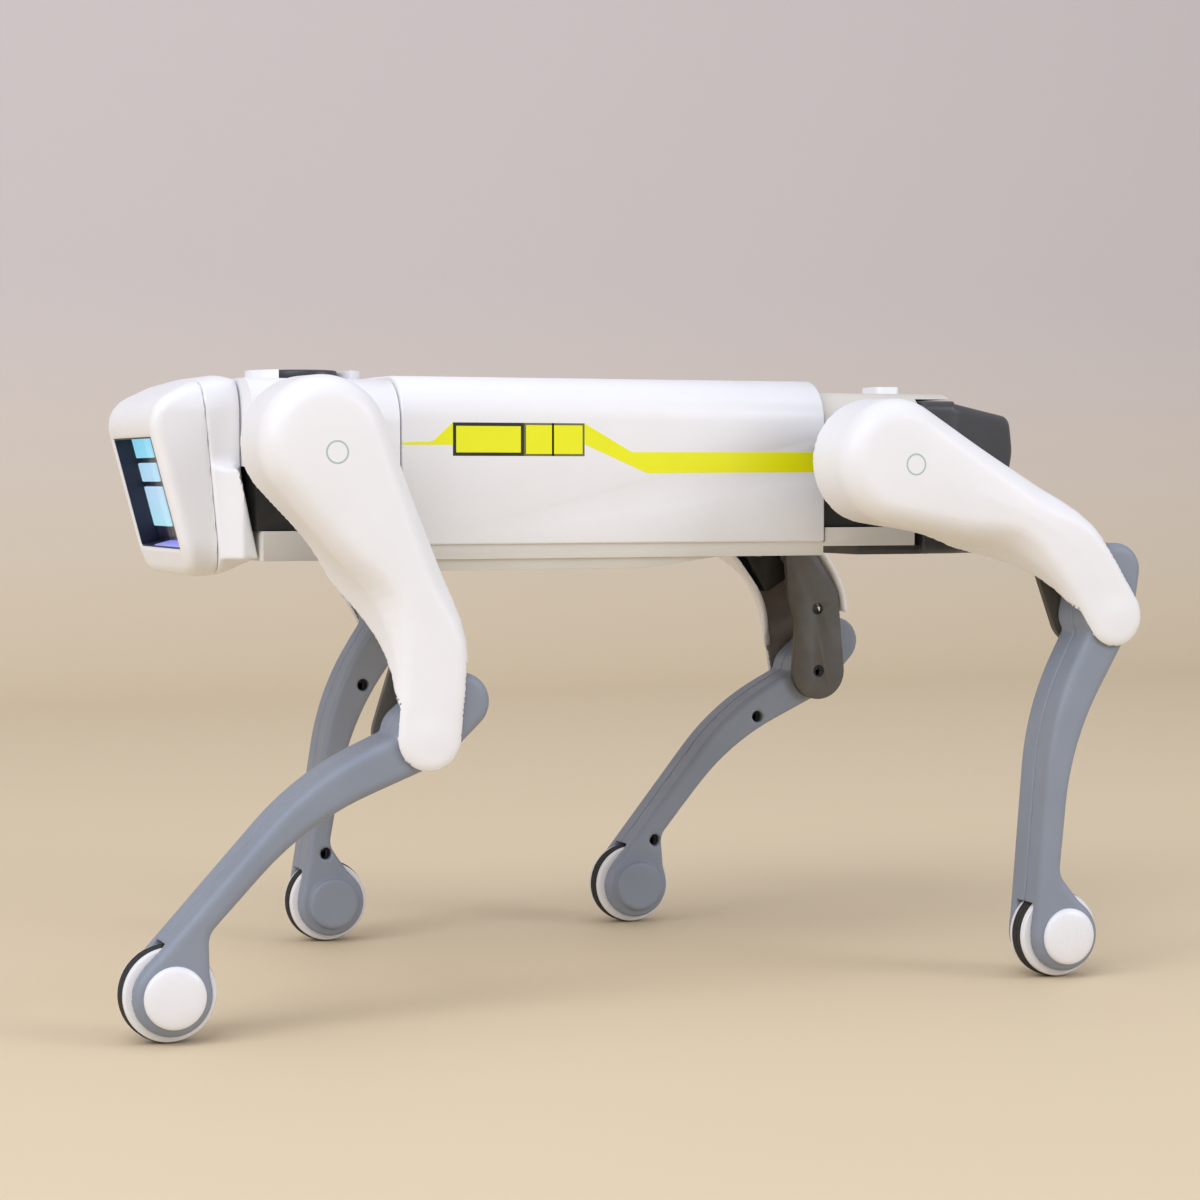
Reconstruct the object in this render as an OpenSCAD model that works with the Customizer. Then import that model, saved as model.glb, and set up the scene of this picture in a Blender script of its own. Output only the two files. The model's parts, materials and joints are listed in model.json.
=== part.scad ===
// Four-legged walking robot dog toy.
// X runs from the head (-X) to the tail (+X), Y to the dog's right, Z up.
// The toy stands on the plane Z = 0 with the middle of its footprint at the origin.

/* [Stance] */
// Height of the back deck above the floor
deck_h = 200.3; // [196:0.1:204]
// Distance between the front and rear hip axes
hip_span = 192.6; // [186:0.2:210]
// Depth of the front hip axis below the deck
front_hip_drop = 21.9; // [20:0.1:25]
// Depth of the rear hip axis below the deck
rear_hip_drop = 26.6; // [24:0.1:29]
// Distance that the front left wheel stands behind its hip, or ahead of it where negative
front_left_reach = -48.3; // [-56:0.1:-40]
// Distance that the rear left wheel stands behind its hip
rear_left_reach = 62.7; // [50:0.1:70]
// Distance that the front right wheel stands behind its hip
front_right_reach = 49.9; // [40:0.1:60]
// Distance that the rear right wheel stands behind its hip, or ahead of it where negative
rear_right_reach = -23.4; // [-34:0.1:-14]

/* [Legs] */
// Distance from the hip axis to the knee axis
thigh_l = 94.5; // [88:0.5:100]
// Distance from the knee axis to the wheel axis
shin_l = 108; // [102:0.5:112]
// Distance from the dog's middle to the middle of each shin's thickness
leg_mid_y = 82.2; // [80:0.1:90]
// Thickness of the shin
shin_t = 20; // [18:0.1:24]
// Radius of the thigh's round hip end
hip_drum_r = 20; // [19:0.1:23]
// Radius of the thigh's knee end
knee_cap_r = 10.8; // [10:0.1:12]
// Wall around the edge of the thigh shell
thigh_wall = 1.8; // [1.4:0.1:2.2]
// Thickness of the thigh shell's outer face
thigh_face_t = 2.3; // [1.8:0.1:3]
// Thickness of the thigh's inner plate
plate_t = 2.5; // [2:0.1:3]
// Radius of the screwed post that the knee turns on
knee_post_r = 4; // [3.5:0.1:4.5]
// Radius of the hip's bearing journal
hub_r = 6.6; // [6:0.1:7]
// Radius of the shin around the knee
knee_boss_r = 9.5; // [9:0.1:10]
// Length of the lever that the shin carries above the knee
lever_l = 15.5; // [15:0.1:17]
// Offset of the lever's round end across the shin
lever_v = 0.5; // [0:0.1:2]
// Radius of the lever's round end
lever_r = 9; // [8:0.1:9.5]

/* [Knee linkage] */
// Distance from the hip axis along the thigh to the crank's axis
crank_u = 42; // [40:0.5:46]
// Distance across the thigh to the crank's axis
crank_v = 7.2; // [7:0.1:8]
// Distance from each pivot to the push rod's pin
crank_l = 10; // [9.5:0.1:10.5]
// Thickness of the push rod
rod_t = 2.8; // [2.2:0.1:3]
// Width of the push rod
rod_w = 4.2; // [3.6:0.1:4.6]
// Radius of the push rod's eyes
eye_r = 3.4; // [3.2:0.1:3.6]
// Radius of the crank's pin
crank_pin_r = 1.6; // [1.4:0.05:1.8]
// Thickness of the crank arm
crank_t = 2.7; // [2.2:0.1:3]
// Free play left around the lever's pin, where the linkage is open
open_pivot_play = 0.45; // [0.35:0.05:0.6]

/* [Feet] */
// Radius of the rubber ring on each roller
tyre_r = 14.6; // [14:0.1:15.4]
// Width of the roller
wheel_w = 10; // [8:0.1:11]
// Width of the rubber ring
tyre_w = 5; // [4:0.1:6]
// Radius of the roller's white rims
rim_r = 14.1; // [13.5:0.1:14.4]
// Radius of the foot's side plates
foot_r = 12; // [11.4:0.1:12.6]
// Radius of the white domed axle cap
cap_r = 9.4; // [8.8:0.1:10]
// Height of the domed axle cap
cap_h = 2.5; // [2:0.1:3]
// Radius of the roller's axle
axle_r = 2; // [1.8:0.1:2.5]

/* [Body] */
// Half the width of the body shell
body_half_w = 45; // [43:0.5:47]
// Height of the body shell's side, from the deck to the crease
side_h = 54.3; // [52:0.1:58]
// Radius of the deck's long edges
deck_round = 14; // [10:0.5:16]
// Wall of the body's shells
shell_t = 2; // [1.6:0.1:2.4]
// Distance from the front hip axis forward to the shoulder cover's front wall
shoulder_front_l = 10.7; // [10.2:0.1:12]
// Distance from the front hip axis back to the shoulder cover's rear edge
shoulder_back_l = 37.2; // [36.4:0.1:41]
// Step down from the deck to the shoulder cover
shoulder_step = 1.2; // [0.6:0.1:2]
// Height from the deck to the shoulder cover's lower edge
shoulder_side_h = 29.3; // [27:0.1:32]
// Distance from the rear hip axis forward to the middle shell's rear edge
shell_end_l = 4.8; // [3.5:0.1:6]
// Distance from the rear hip axis back to the rump cover's rear edge
rump_l = 33.3; // [32:0.1:36]
// Height from the deck to the rump cover's lower edge
rump_side_h = 39.3; // [36:0.1:42]
// Step down from the deck to the rump cover
rump_step = 3.8; // [3:0.1:5]
// Distance from the rear hip axis back to the tail's end
tail_l = 79.4; // [76:0.1:84]
// Gap left at the seams between outer shells
seam = 0.6; // [0.4:0.1:1]
// Depth of the belly tray below the crease
tray_h = 4.7; // [4:0.1:6]
// Depth of the battery bay below the tray
bay_h = 3.6; // [3:0.1:4]
// Radius of the round housing around each hip bearing
drum_r = 8.6; // [8.3:0.1:9.5]

/* [Head] */
// Half the width of the head
head_half_w = 32; // [30:0.5:34]
// Height of the head
head_h = 64.3; // [62:0.1:66]
// Distance from the front hip axis forward to the middle of the face
face_ahead = 34.6; // [34:0.1:38]
// Depth of the middle of the face below the deck
face_drop = 37.9; // [37:0.1:39]
// Angle that the face leans back towards its foot
face_lean = 14.7; // [12:0.1:16]
// Width of the face window
window_w = 54; // [50:0.5:56]
// Height of the face window
window_h = 36.6; // [33:0.5:38]
// Depth of the face window
window_d = 7.5; // [6:0.1:8.5]

/* [Hidden] */
$fn = 64;
run = 0.05;            // radial play of a running fit
gap = 0.5;             // air between pieces that pass each other
eps = 0.02;            // overlap that joins two primitives of one piece
lap = 0.2;             // depth of a lever's straight sides inside its round ends
through = 40;          // length of a cut that runs right out of a piece

WHITE = "#F2F0EF";
SHADE = "#DAD6CC";
GREY = "#8F959F";
BLACK = "#2B2A29";
CHARCOAL = "#4A4A4A";
PLATE = "#5A574A";

// Hips
front_hip = [-hip_span / 2, deck_h - front_hip_drop];
rear_hip = [hip_span / 2, deck_h - rear_hip_drop];

// Each leg: name, hip axis, side of the body, distance of its wheel behind the hip
LEGS = [
    ["front_left", front_hip, -1, front_left_reach],
    ["rear_left", rear_hip, -1, rear_left_reach],
    ["front_right", front_hip, 1, front_right_reach],
    ["rear_right", rear_hip, 1, rear_right_reach],
];

// The thigh's and the shin's angles below the horizontal that stand the wheel on the floor
function drop(leg) = leg[1][1] - tyre_r;
function thigh_a(leg) = let (span = norm([leg[3], drop(leg)])) atan2(drop(leg), leg[3])
    - acos((thigh_l * thigh_l + span * span - shin_l * shin_l) / (2 * thigh_l * span));
function shin_a(leg) =
    atan2(drop(leg) - thigh_l * sin(thigh_a(leg)), leg[3] - thigh_l * cos(thigh_a(leg)));
function knee_at(leg) = leg[1] + thigh_l * [cos(thigh_a(leg)), -sin(thigh_a(leg))];

// Middle of the footprint, moved to X = 0
footprint_x0 = min([for (leg = LEGS) leg[1][0] + leg[3] - tyre_r]);
footprint_x1 = max([for (leg = LEGS)
    knee_at(leg)[0] + lever_r - lever_l * cos(shin_a(leg)) + lever_v * sin(shin_a(leg))]);
mid_x = (footprint_x0 + footprint_x1) / 2;

// Sideways stations of a leg, measured outwards from the dog's middle
shin_in = leg_mid_y - shin_t / 2;
shin_out = leg_mid_y + shin_t / 2;
plate_out = shin_in - gap;
plate_in = plate_out - plate_t;
rim_in = plate_in - 1;
drum_face = rim_in - 0.7;
face_in = shin_out + 0.7;
thigh_out = face_in + thigh_face_t;
rod_in = plate_out + 1.3;
rod_out = rod_in + rod_t;
crank_in = rod_out + 0.4;
crank_out = crank_in + crank_t;
lever_in = rod_out + 0.6;
servo_size = [26, 11.2, 12.2];
servo_nose = 8;        // from the output shaft to the servo's near end
knee_servo_in = crank_out + gap;
rod_l = norm([thigh_l - crank_u, crank_v]);
rod_a = atan(crank_v / (thigh_l - crank_u));
spline_r = 2.5;
spline_l = 4;
hip_spline_r = 3;
hip_spline_l = 6;

// Stations along the thigh, each a circle at the inner rim and one near the outer face:
// [along, rim across, rim radius, face across, face radius]
THIGH_RINGS = [
    [0, -1, hip_drum_r + 0.5, -1, hip_drum_r + 0.3],
    [thigh_l * 0.27, 5.2, 16, 4.4, 15.5],
    [thigh_l * 0.51, 9.3, 15.9, 10, 10.6],
    [thigh_l * 0.74, 10.3, 15.7, 9.9, 11.4],
    [thigh_l + 0.3, 0, knee_cap_r, 0.2, knee_cap_r + 0.5],
];
thigh_edge = 3;
edge_in = 2.4;

// Inner plate outline: circles of [along, across, radius], joined by tangents
PLATE_CIRCLES = [
    [0, -1, hip_drum_r - 2],
    [thigh_l * 0.51, 18, 5],
    [thigh_l * 0.7, 14, 9.8],
    [thigh_l * 0.82, 11.4, 10],
    [thigh_l, 0, knee_cap_r],
];

// Room for the plate inside the thigh's rim, open at the knee
plate_play = 0.3;
hollow_share = (plate_out - rim_in + 1) / (face_in - rim_in + 1);
PLATE_ROOM = concat([for (i = [0 : 3]) let (t = THIGH_RINGS[i])
    [t[0], t[1] + (t[3] - t[1]) * hollow_share,
     t[2] + (t[4] - t[2]) * hollow_share - thigh_wall - plate_play]], [[thigh_l, 0, knee_cap_r]]);

// Corners of the shin's strut, bowed towards the front: [along, across, rounding]
SHIN_STRUT = [
    [5, -6.6, 0],
    [34, -17, 95],
    [shin_l - 0.5, 0.05 - foot_r, 0],
    [shin_l - 7, 9, 0],
    [shin_l - 20, -5.4, 7],
    [44, -7.6, 95],
    [3.4, 8.8, 0],
];

slant_u0 = 42;
slant_u1 = 80;
plate_screws = [[-12.6, -6.6], [10, -12.2], [26, 15.5]];
access_hole = [thigh_l - 20.5, 12.2];
shin_screws = [[29, -6.2], [shin_l - 17, -6.4]];
post_r = 2.4;
pilot_r = 1.1;
head_r = 2.2;

// Body stations along X and Z
shoulder_x0 = front_hip[0] - shoulder_front_l;
shoulder_x1 = front_hip[0] + shoulder_back_l;
body_x0 = shoulder_x1 + seam;
body_x1 = rear_hip[0] - shell_end_l;
rear_x0 = body_x1 + seam;
rear_x1 = rear_hip[0] + rump_l;
tongue_l = 13.4;
deck_tongue_x1 = rear_x1 + tongue_l;
tail_x1 = rear_hip[0] + tail_l;
tray_x0 = front_hip[0] - 7.6;
crease_z = deck_h - side_h;
tray_z = crease_z - tray_h;
bay_z = tray_z - bay_h;
strip_h = 4.7;
strip_z = crease_z + strip_h;
rear_strip_h = 6.3;
tray_x1 = rear_x1 - 3.2;
shoulder_z = deck_h - shoulder_side_h;
rear_skirt_z = deck_h - rump_side_h;
rear_deck_z = deck_h - rump_step;
shoulder_deck_z = deck_h - shoulder_step;
frame_half_w = body_half_w - shell_t - 1.3;
frame_wall = 2.5;
servo_out = frame_half_w - frame_wall;
tray_half_w = body_half_w - 1;
tail_half_w = body_half_w - 2;
tail_end_w = 28;
charge_z = deck_h - 42;
screw_head_r = 2.7;
screw_head_h = 1.1;
screw_shank_r = 1.5;
screw_l = 8;
screw_slot_l = 3.6;
screw_slot_w = 0.6;
screw_in = 8;
case_screw_places = [for (x = [tray_x0 + screw_in, body_x1 - screw_in - bay_h]) for (s = [-1, 1])
    [x, s * (tray_half_w - screw_in)]];

// Battery bay
bay_x0 = body_x0 + 11.5;
bay_l = 73.3;
bay_x1 = bay_x0 + bay_l;
bay_ramp = 27.2;
bay_half_w = tray_half_w - 1;
door_half_w = 32;
door_t = 2.2;
door_play = 0.3;
door_in = 1.8;         // from the bay's front wall to the door
lip_w = 1.4;           // width of the lip that holds each edge of the door
lip_t = 0.9;           // thickness of that lip
groove_w = 1.5;
groove_l = 24;
groove_pitch = 3;
groove_in = 8;
pack_size = [62, 36, 18];
board_size = [96, 60, 1.6];
board_z = tray_z + shell_t + 22;
board_x = (body_x0 + body_x1) / 2 - 1;
board_hole_in = 5;
board_hole_r = 1.6;
board_post_r = 3;
speaker_back = 34;
speaker_r = 14;
speaker_rim_h = 3;
speaker_h = 7;
magnet_r = 8;
board_holes = [for (s = [-1, 1]) for (t = [-1, 1])
    [s * (board_size[0] / 2 - board_hole_in), t * (board_size[1] / 2 - board_hole_in)]];

// Deck buttons
button_r = 11.4;
ring_r = 18.8;
button_x = shoulder_x1 - ring_r - 0.3;
rail_gap = 12;
ring_h = 3.4;
button_cap_h = 3.1;
flange_drop = 2.6;     // from the shell's underside down to a button's flange
flange_t = 1.4;
power_flange_w = 1.2;
button_play = 0.4;
button_press = 1;
power_x = rear_hip[0] + 39.7;
power_size = [9, 14];
power_round = 2.5;
power_h = 3.2;
power_press = 0.8;

// Head stations: the face plane and the seam behind the bezel
face_mid = [front_hip[0] - face_ahead, deck_h - face_drop];
face_up = 28.5;
face_down = 27.6;
chin_back = 15;
jaw_drop = 58;
crown_back = 16.5;
brow_back = 27.5;
brow_drop = 3;
lip_round = 4;
chin_round = 10;
brow_round = 8;
forehead_round = 10.5;
cheek_round = 15;
head_rise = 0.4;
seam_top_back = 23.8;
seam_foot_back = 18;
collar_front = 21;
collar_side = 13;
collar_rear = 5;
collar_slant = 7.2;
head_top = deck_h + head_rise;
head_bottom = head_top - head_h;
head_seam_top = [front_hip[0] - seam_top_back, head_top];
head_seam_bottom = [front_hip[0] - seam_foot_back, head_bottom];
past_head = front_hip[0] - 2 * face_ahead;
head_collar_z0 = tray_z + 0.5;
collar_half_w = 40.5;
lens_t = 1.2;
lens_play = 0.1;
display_t = 2;
led_h = 0.8;
led_margin = 0.6;
led_gap = 1.8;
led_bars = [7.4, 6.2, 13.3];
eye_w = 23;
eye_in = 0.5;          // from the window's side to the light bars of that eye
eye_y = window_w / 2 - eye_in - eye_w / 2;
// Foot of each light bar of an eye, from the top bar down
function led_foot(i) = i < 0 ? window_h / 2 - led_margin + led_gap : led_foot(i - 1) - led_gap - led_bars[i];

TORSO = ["top_shell", "shoulder_cover", "rear_cover", "tail_cap", "belly_tray", "battery_door",
    "battery_pack", "front_hip_frame", "rear_hip_frame", "head_bezel", "head_shell", "face_lens",
    "face_display", "main_board", "speaker", "touch_button", "power_button", "charge_socket",
    "hip_servos", "case_screws"];
LEG_PIECES = ["thigh_shell", "thigh_plate", "knee_servo", "crank", "push_rod", "shin_outer",
    "shin_inner", "axle_cap", "wheel", "tyre"];

// ---- Helpers ----

// Corner points of the two common tangents of circles a and b, a hair inside the circles
function tangent_quad(a, b) =
    let (d = [b[0] - a[0], b[1] - a[1]],
         along = atan2(d[1], d[0]),
         lift = acos((a[2] - b[2]) / norm(d)))
    [for (s = [1, -1]) for (c = s > 0 ? [a, b] : [b, a])
        [c[0], c[1]] + (c[2] - eps) * [cos(along + s * lift), sin(along + s * lift)]];

// Outline of circles joined in turn by their tangents
module chain(circles) {
    for (c = circles) translate([c[0], c[1]]) circle(r = c[2]);
    for (i = [0 : len(circles) - 2]) polygon(tangent_quad(circles[i], circles[i + 1]));
}

// A rectangle with round corners
module round_rect(x0, x1, y0, y1, r) {
    translate([x0 + r, y0]) square([x1 - x0 - 2 * r, y1 - y0]);
    translate([x0, y0 + r]) square([x1 - x0, y1 - y0 - 2 * r]);
    for (x = [x0 + r, x1 - r]) for (y = [y0 + r, y1 - r]) translate([x, y]) circle(r = r);
}

// Points of an outline whose corners are rounded: each corner is [x, y, radius]
function rounded(corners) = [for (i = [0 : len(corners) - 1])
    let (n = len(corners), q = corners[i], p = corners[(i + n - 1) % n], s = corners[(i + 1) % n],
         c = [q[0], q[1]], a = [p[0], p[1]] - c, b = [s[0], s[1]] - c,
         ua = a / norm(a), ub = b / norm(b), half = acos(ua * ub) / 2,
         m = (ua + ub) / norm(ua + ub), centre = c + m * q[2] / sin(half),
         steps = q[2] > 0 ? 6 : 0,
         a0 = atan2(c[1] + ua[1] * q[2] / tan(half) - centre[1], c[0] + ua[0] * q[2] / tan(half) - centre[0]),
         a1 = atan2(c[1] + ub[1] * q[2] / tan(half) - centre[1], c[0] + ub[0] * q[2] / tan(half) - centre[0]),
         turn = (a1 - a0 + 540) % 360 - 180)
    for (k = [0 : steps]) q[2] > 0
        ? centre + q[2] * [cos(a0 + turn * k / steps), sin(a0 + turn * k / steps)] : c];

// Extrude a Y-Z outline along X
module along_x(x0, x1) translate([x0, 0, 0]) rotate([90, 0, 90]) linear_extrude(x1 - x0) children();

// Extrude an X-Z outline sideways to both sides of the middle
module across(half_w) rotate([90, 0, 0]) linear_extrude(2 * half_w, center = true) children();

// Extrude an X-Z outline between two sideways stations
module slab(y0, y1) translate([0, y1, 0]) rotate([90, 0, 0]) linear_extrude(y1 - y0) children();

// A round bar or hole along Y
module bar(x, z, r, y0, y1) translate([x, y1, z]) rotate([90, 0, 0]) cylinder(r = r, h = y1 - y0);

// Puts the whole toy's footprint over the origin
module placed() translate([-mid_x, 0, 0]) children();

// Both sides of the body
module both_sides() {
    children();
    mirror([0, 1, 0]) children();
}

// A leg's own frames: X along the limb, Y outwards, Z across it
module on_side(leg) placed() mirror([0, leg[2] < 0 ? 1 : 0, 0]) children();
module thigh_frame(leg)
    on_side(leg) translate([leg[1][0], 0, leg[1][1]]) rotate([0, thigh_a(leg), 0]) children();
module shin_frame(leg)
    on_side(leg) translate([knee_at(leg)[0], 0, knee_at(leg)[1]]) rotate([0, shin_a(leg), 0]) children();
module crank_frame(leg) thigh_frame(leg) translate([crank_u, 0, crank_v])
    rotate([0, shin_a(leg) + 180 - thigh_a(leg), 0]) children();
module rod_frame(leg) crank_frame(leg) translate([crank_l, 0, 0])
    rotate([0, thigh_a(leg) + rod_a - shin_a(leg) - 180, 0]) children();

// A servo's case with its output along +Y at the origin, hanging along +X
module servo(y1, bore_r, bore_l) difference() {
    slab(y1 - servo_size[1], y1)
        round_rect(-servo_nose, servo_size[0] - servo_nose, -servo_size[2] / 2, servo_size[2] / 2, 1.5);
    bar(0, 0, bore_r, y1 - bore_l, y1 + 1);
}

// ---- Legs ----

// The thigh between two sideways stations, as a skin over its rings; the outer edge is eased
module thigh_body(inset, y0, y1, ease, last = 2) for (i = [0 : len(THIGH_RINGS) - last]) hull()
    for (t = [THIGH_RINGS[i], THIGH_RINGS[i + 1]]) {
        translate([0, y0, 0]) bar(t[0], t[1], t[2] - inset, 0, eps, $fn = 32);
        translate([0, y1 - ease - eps, 0]) bar(t[0], t[3], t[4] - inset, 0, eps, $fn = 32);
        translate([0, y1 - eps, 0])
            bar(t[0], t[3], t[4] - inset - (ease > 0 ? edge_in : 0), 0, eps, $fn = 32);
    }

module thigh_shell(leg) color(WHITE) thigh_frame(leg) {
    difference() {
        thigh_body(0, rim_in, thigh_out, thigh_edge);
        thigh_body(thigh_wall, rim_in - 1, face_in, 0, 3);
        slab(rim_in - 1, face_in)
            chain([for (t = [THIGH_RINGS[3], THIGH_RINGS[4]]) [t[0], t[3], t[4] - thigh_wall]]);
        slab(rim_in - 1, plate_out + gap)
            chain([for (t = [THIGH_RINGS[3], THIGH_RINGS[4]]) [t[0], t[1], t[2] - thigh_wall]]);
        // room for the shin's lever above the knee and for the shin below it
        intersection() {
            bar(thigh_l, 0, lever_l + lever_r + gap, rim_in - 1, face_in);
            slab(rim_in - 1, face_in) translate([0, thigh_wall]) square([2 * thigh_l, thigh_l]);
        }
        bar(thigh_l, 0, knee_boss_r + 3, rim_in - 1, face_in);
        // the front wall is cut away on a slant towards the knee
        translate([0, 0, -thigh_l]) linear_extrude(thigh_l + 2) polygon([
            [slant_u0, rim_in - 1], [slant_u1, face_in - 2], [thigh_l, face_in - 2], [thigh_l, rim_in - 1]]);
    }
    difference() {
        bar(thigh_l, 0, knee_post_r, plate_out, face_in + eps);
        bar(thigh_l, 0, pilot_r, plate_out - 1, plate_out + 12);
    }
    for (p = plate_screws) difference() {
        bar(p[0], p[1], post_r, plate_out, face_in + eps);
        bar(p[0], p[1], pilot_r, plate_out - 1, plate_out + 10);
    }
    // pad that the knee servo seats on
    slab(knee_servo_in + servo_size[1], face_in + eps)
        translate([crank_u + 2 - servo_nose, crank_v - 4]) square([servo_size[0] - 4, 9]);
}

module thigh_plate(leg) color(PLATE) thigh_frame(leg) difference() {
    union() {
        slab(plate_in, plate_out) intersection() {
            chain(PLATE_CIRCLES);
            chain(PLATE_ROOM);
        }
        bar(0, 0, hub_r, servo_out + 0.4, plate_in + eps);
        bar(0, 0, hip_spline_r, servo_out - hip_spline_l + 0.4, servo_out + 0.4 + eps);
    }
    for (p = concat(plate_screws, [[thigh_l, 0]])) {
        bar(p[0], p[1], head_r, plate_in - 1, plate_in + 1.2);
        bar(p[0], p[1], pilot_r + 0.3, plate_in, plate_out + 1);
    }
    // way in to the push rod's pin
    bar(access_hole[0], access_hole[1], head_r, plate_in - 1, plate_out + 1);
}

module knee_servo(leg) color(BLACK) thigh_frame(leg) translate([crank_u, 2 * knee_servo_in, crank_v])
    mirror([0, 1, 0]) servo(knee_servo_in, spline_r + run, spline_l + gap);

module crank(leg) color(SHADE) crank_frame(leg) {
    slab(crank_in, crank_out) chain([[0, 0, eye_r + 1], [crank_l, 0, eye_r]]);
    bar(0, 0, spline_r, crank_out - eps, crank_out + gap + spline_l);
    bar(crank_l, 0, crank_pin_r, rod_in, crank_in + eps);
}

module push_rod(leg) color(GREY) rod_frame(leg) slab(rod_in, rod_out) difference() {
    union() {
        for (u = [0, rod_l]) translate([u, 0]) circle(r = eye_r);
        translate([0, -rod_w / 2]) square([rod_l, rod_w]);
    }
    circle(r = crank_pin_r + run);
    translate([rod_l, 0]) circle(r = crank_pin_r - 0.1 + open_pivot_play);
}

module shin_holes(y0, y1) {
    bar(0, 0, knee_post_r + run, y0 - 1, y1 + 1);
    bar(shin_l, 0, axle_r, y0 - 1, y1 + 1);
    bar(shin_l, 0, tyre_r + 0.8, leg_mid_y - wheel_w / 2 - 0.3, leg_mid_y + wheel_w / 2 + 0.3);
}

// The shin's side outline
module shin_outline() {
    circle(r = knee_boss_r);
    translate([-lever_l, lever_v]) circle(r = lever_r);
    translate([-lever_l, lever_v - lever_r + lap]) square([lever_l, 2 * (lever_r - lap)]);
    polygon(rounded(SHIN_STRUT));
    translate([shin_l, 0]) circle(r = foot_r);
}

module shin_outer(leg) color(GREY) shin_frame(leg) difference() {
    slab(leg_mid_y, shin_out) shin_outline();
    shin_holes(leg_mid_y, shin_out);
}

module shin_inner(leg) color(GREY) shin_frame(leg) {
    difference() {
        union() {
            slab(shin_in, leg_mid_y) shin_outline();
            bar(shin_l, 0, cap_r - 0.4, shin_in - cap_h + 0.2, shin_in + eps);
        }
        shin_holes(shin_in - cap_h, leg_mid_y);
        // the lever is thinned for the push rod
        slab(shin_in - 1, lever_in) translate([-lever_l - lever_r - 5, -lever_r - 5])
            square([lever_l + lever_r + 5 - crank_l + eye_r + gap, 2 * lever_r + 10]);
        for (p = shin_screws) bar(p[0], p[1], head_r, shin_in - 1, shin_in + 4);
    }
    bar(-crank_l, 0, crank_pin_r - 0.1, rod_in - 0.3, lever_in + eps);
}

module axle_cap(leg) color(WHITE) shin_frame(leg) {
    translate([shin_l, shin_out, 0]) rotate([-90, 0, 0]) rotate_extrude() polygon(concat([[0, 0]],
        [for (k = [0 : 8]) [cap_r * cos(k * 90 / 8), cap_h * sin(k * 90 / 8)]]));
    bar(shin_l, 0, axle_r, shin_in, shin_out + eps);
}

module wheel(leg) color(WHITE) shin_frame(leg) difference() {
    bar(shin_l, 0, rim_r, leg_mid_y - wheel_w / 2, leg_mid_y + wheel_w / 2);
    difference() {
        bar(shin_l, 0, rim_r + 1, leg_mid_y - tyre_w / 2, leg_mid_y + tyre_w / 2);
        bar(shin_l, 0, rim_r - 2, leg_mid_y - tyre_w, leg_mid_y + tyre_w);
    }
    bar(shin_l, 0, axle_r + run, leg_mid_y - wheel_w, leg_mid_y + wheel_w);
}

module tyre(leg) color(BLACK) shin_frame(leg) difference() {
    bar(shin_l, 0, tyre_r, leg_mid_y - tyre_w / 2, leg_mid_y + tyre_w / 2);
    bar(shin_l, 0, rim_r - 2, leg_mid_y - tyre_w, leg_mid_y + tyre_w);
}

// ---- Body ----

// Cross-section of the body above a level, inset from the outer skin
module body_section(inset, z0, top = deck_h) {
    half = body_half_w - inset;
    r = deck_round - inset;
    translate([-half, z0]) square([2 * half, top - inset - r - z0]);
    translate([r - half, z0]) square([2 * (half - r), top - inset - z0]);
    for (s = [1, -1]) translate([s * (half - r), top - inset - r]) circle(r = r);
}

// Clearance around the round hip housings
module hip_notch(hip) bar(hip[0], hip[1], drum_r + 0.4, -2 * body_half_w, 2 * body_half_w);

module top_shell() color(WHITE) placed() difference() {
    along_x(body_x0, body_x1) body_section(0, crease_z);
    along_x(body_x0 + shell_t, body_x1 + 1) body_section(shell_t, crease_z - 1);
    hip_notch(rear_hip);
}

module shoulder_cover() color(WHITE) placed() difference() {
    union() {
        along_x(shoulder_x0, shoulder_x1) body_section(0, shoulder_z, shoulder_deck_z);
        difference() {
            translate([button_x, 0, shoulder_deck_z - shell_t]) cylinder(r = ring_r, h = ring_h + shell_t);
            translate([button_x - rail_gap, -2 * ring_r, shoulder_deck_z])
                cube([2 * rail_gap, 4 * ring_r, 2 * ring_h]);
        }
    }
    along_x(shoulder_x0 + shell_t, body_x0 + 1) body_section(shell_t, shoulder_z - 1, shoulder_deck_z);
    translate([button_x, 0, deck_h - through / 2]) cylinder(r = button_r + button_play, h = through);
    hip_notch(front_hip);
    translate([front_hip[0] - drum_r - 0.4, -2 * body_half_w, shoulder_z - 1])
        cube([2 * drum_r + 0.8, 4 * body_half_w, front_hip[1] - shoulder_z + 1]);
}

module rear_cover() color(SHADE) placed() difference() {
    union() {
        along_x(rear_x0, rear_x1) body_section(1, rear_skirt_z, rear_deck_z + 1);
        along_x(rear_x1 - 1, deck_tongue_x1) intersection() {
            body_section(1, rear_deck_z - shell_t - 2, rear_deck_z + 1);
            translate([-body_half_w, rear_deck_z - shell_t]) square([2 * body_half_w, through]);
        }
    }
    along_x(rear_x0 - 1, rear_x1 - shell_t) body_section(1 + shell_t, rear_skirt_z - 1, rear_deck_z + 1);
    along_x(power_x - power_size[0] / 2 - 0.3, power_x + power_size[0] / 2 + 0.3)
        translate([-power_size[1] / 2 - 0.3, rear_deck_z - through / 2])
            square([power_size[1] + 0.6, through]);
    hip_notch(rear_hip);
}

module tail_outline(inset) polygon(rounded([
    [rear_x1 + seam + inset, tray_z + inset, 0],
    [tail_x1 - 13 - inset, tray_z + inset, 3],
    [tail_x1 - inset, rear_hip[1] + 3, 8],
    [tail_x1 - 3 - inset, rear_deck_z - 7.6 - inset, 6],
    [deck_tongue_x1 + seam + inset, rear_deck_z - 3.4 - inset, 0],
    [deck_tongue_x1 + seam + inset, rear_deck_z - shell_t - seam - inset, 0],
    [rear_x1 + seam + inset, rear_deck_z - shell_t - seam - inset, 0],
]));

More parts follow.
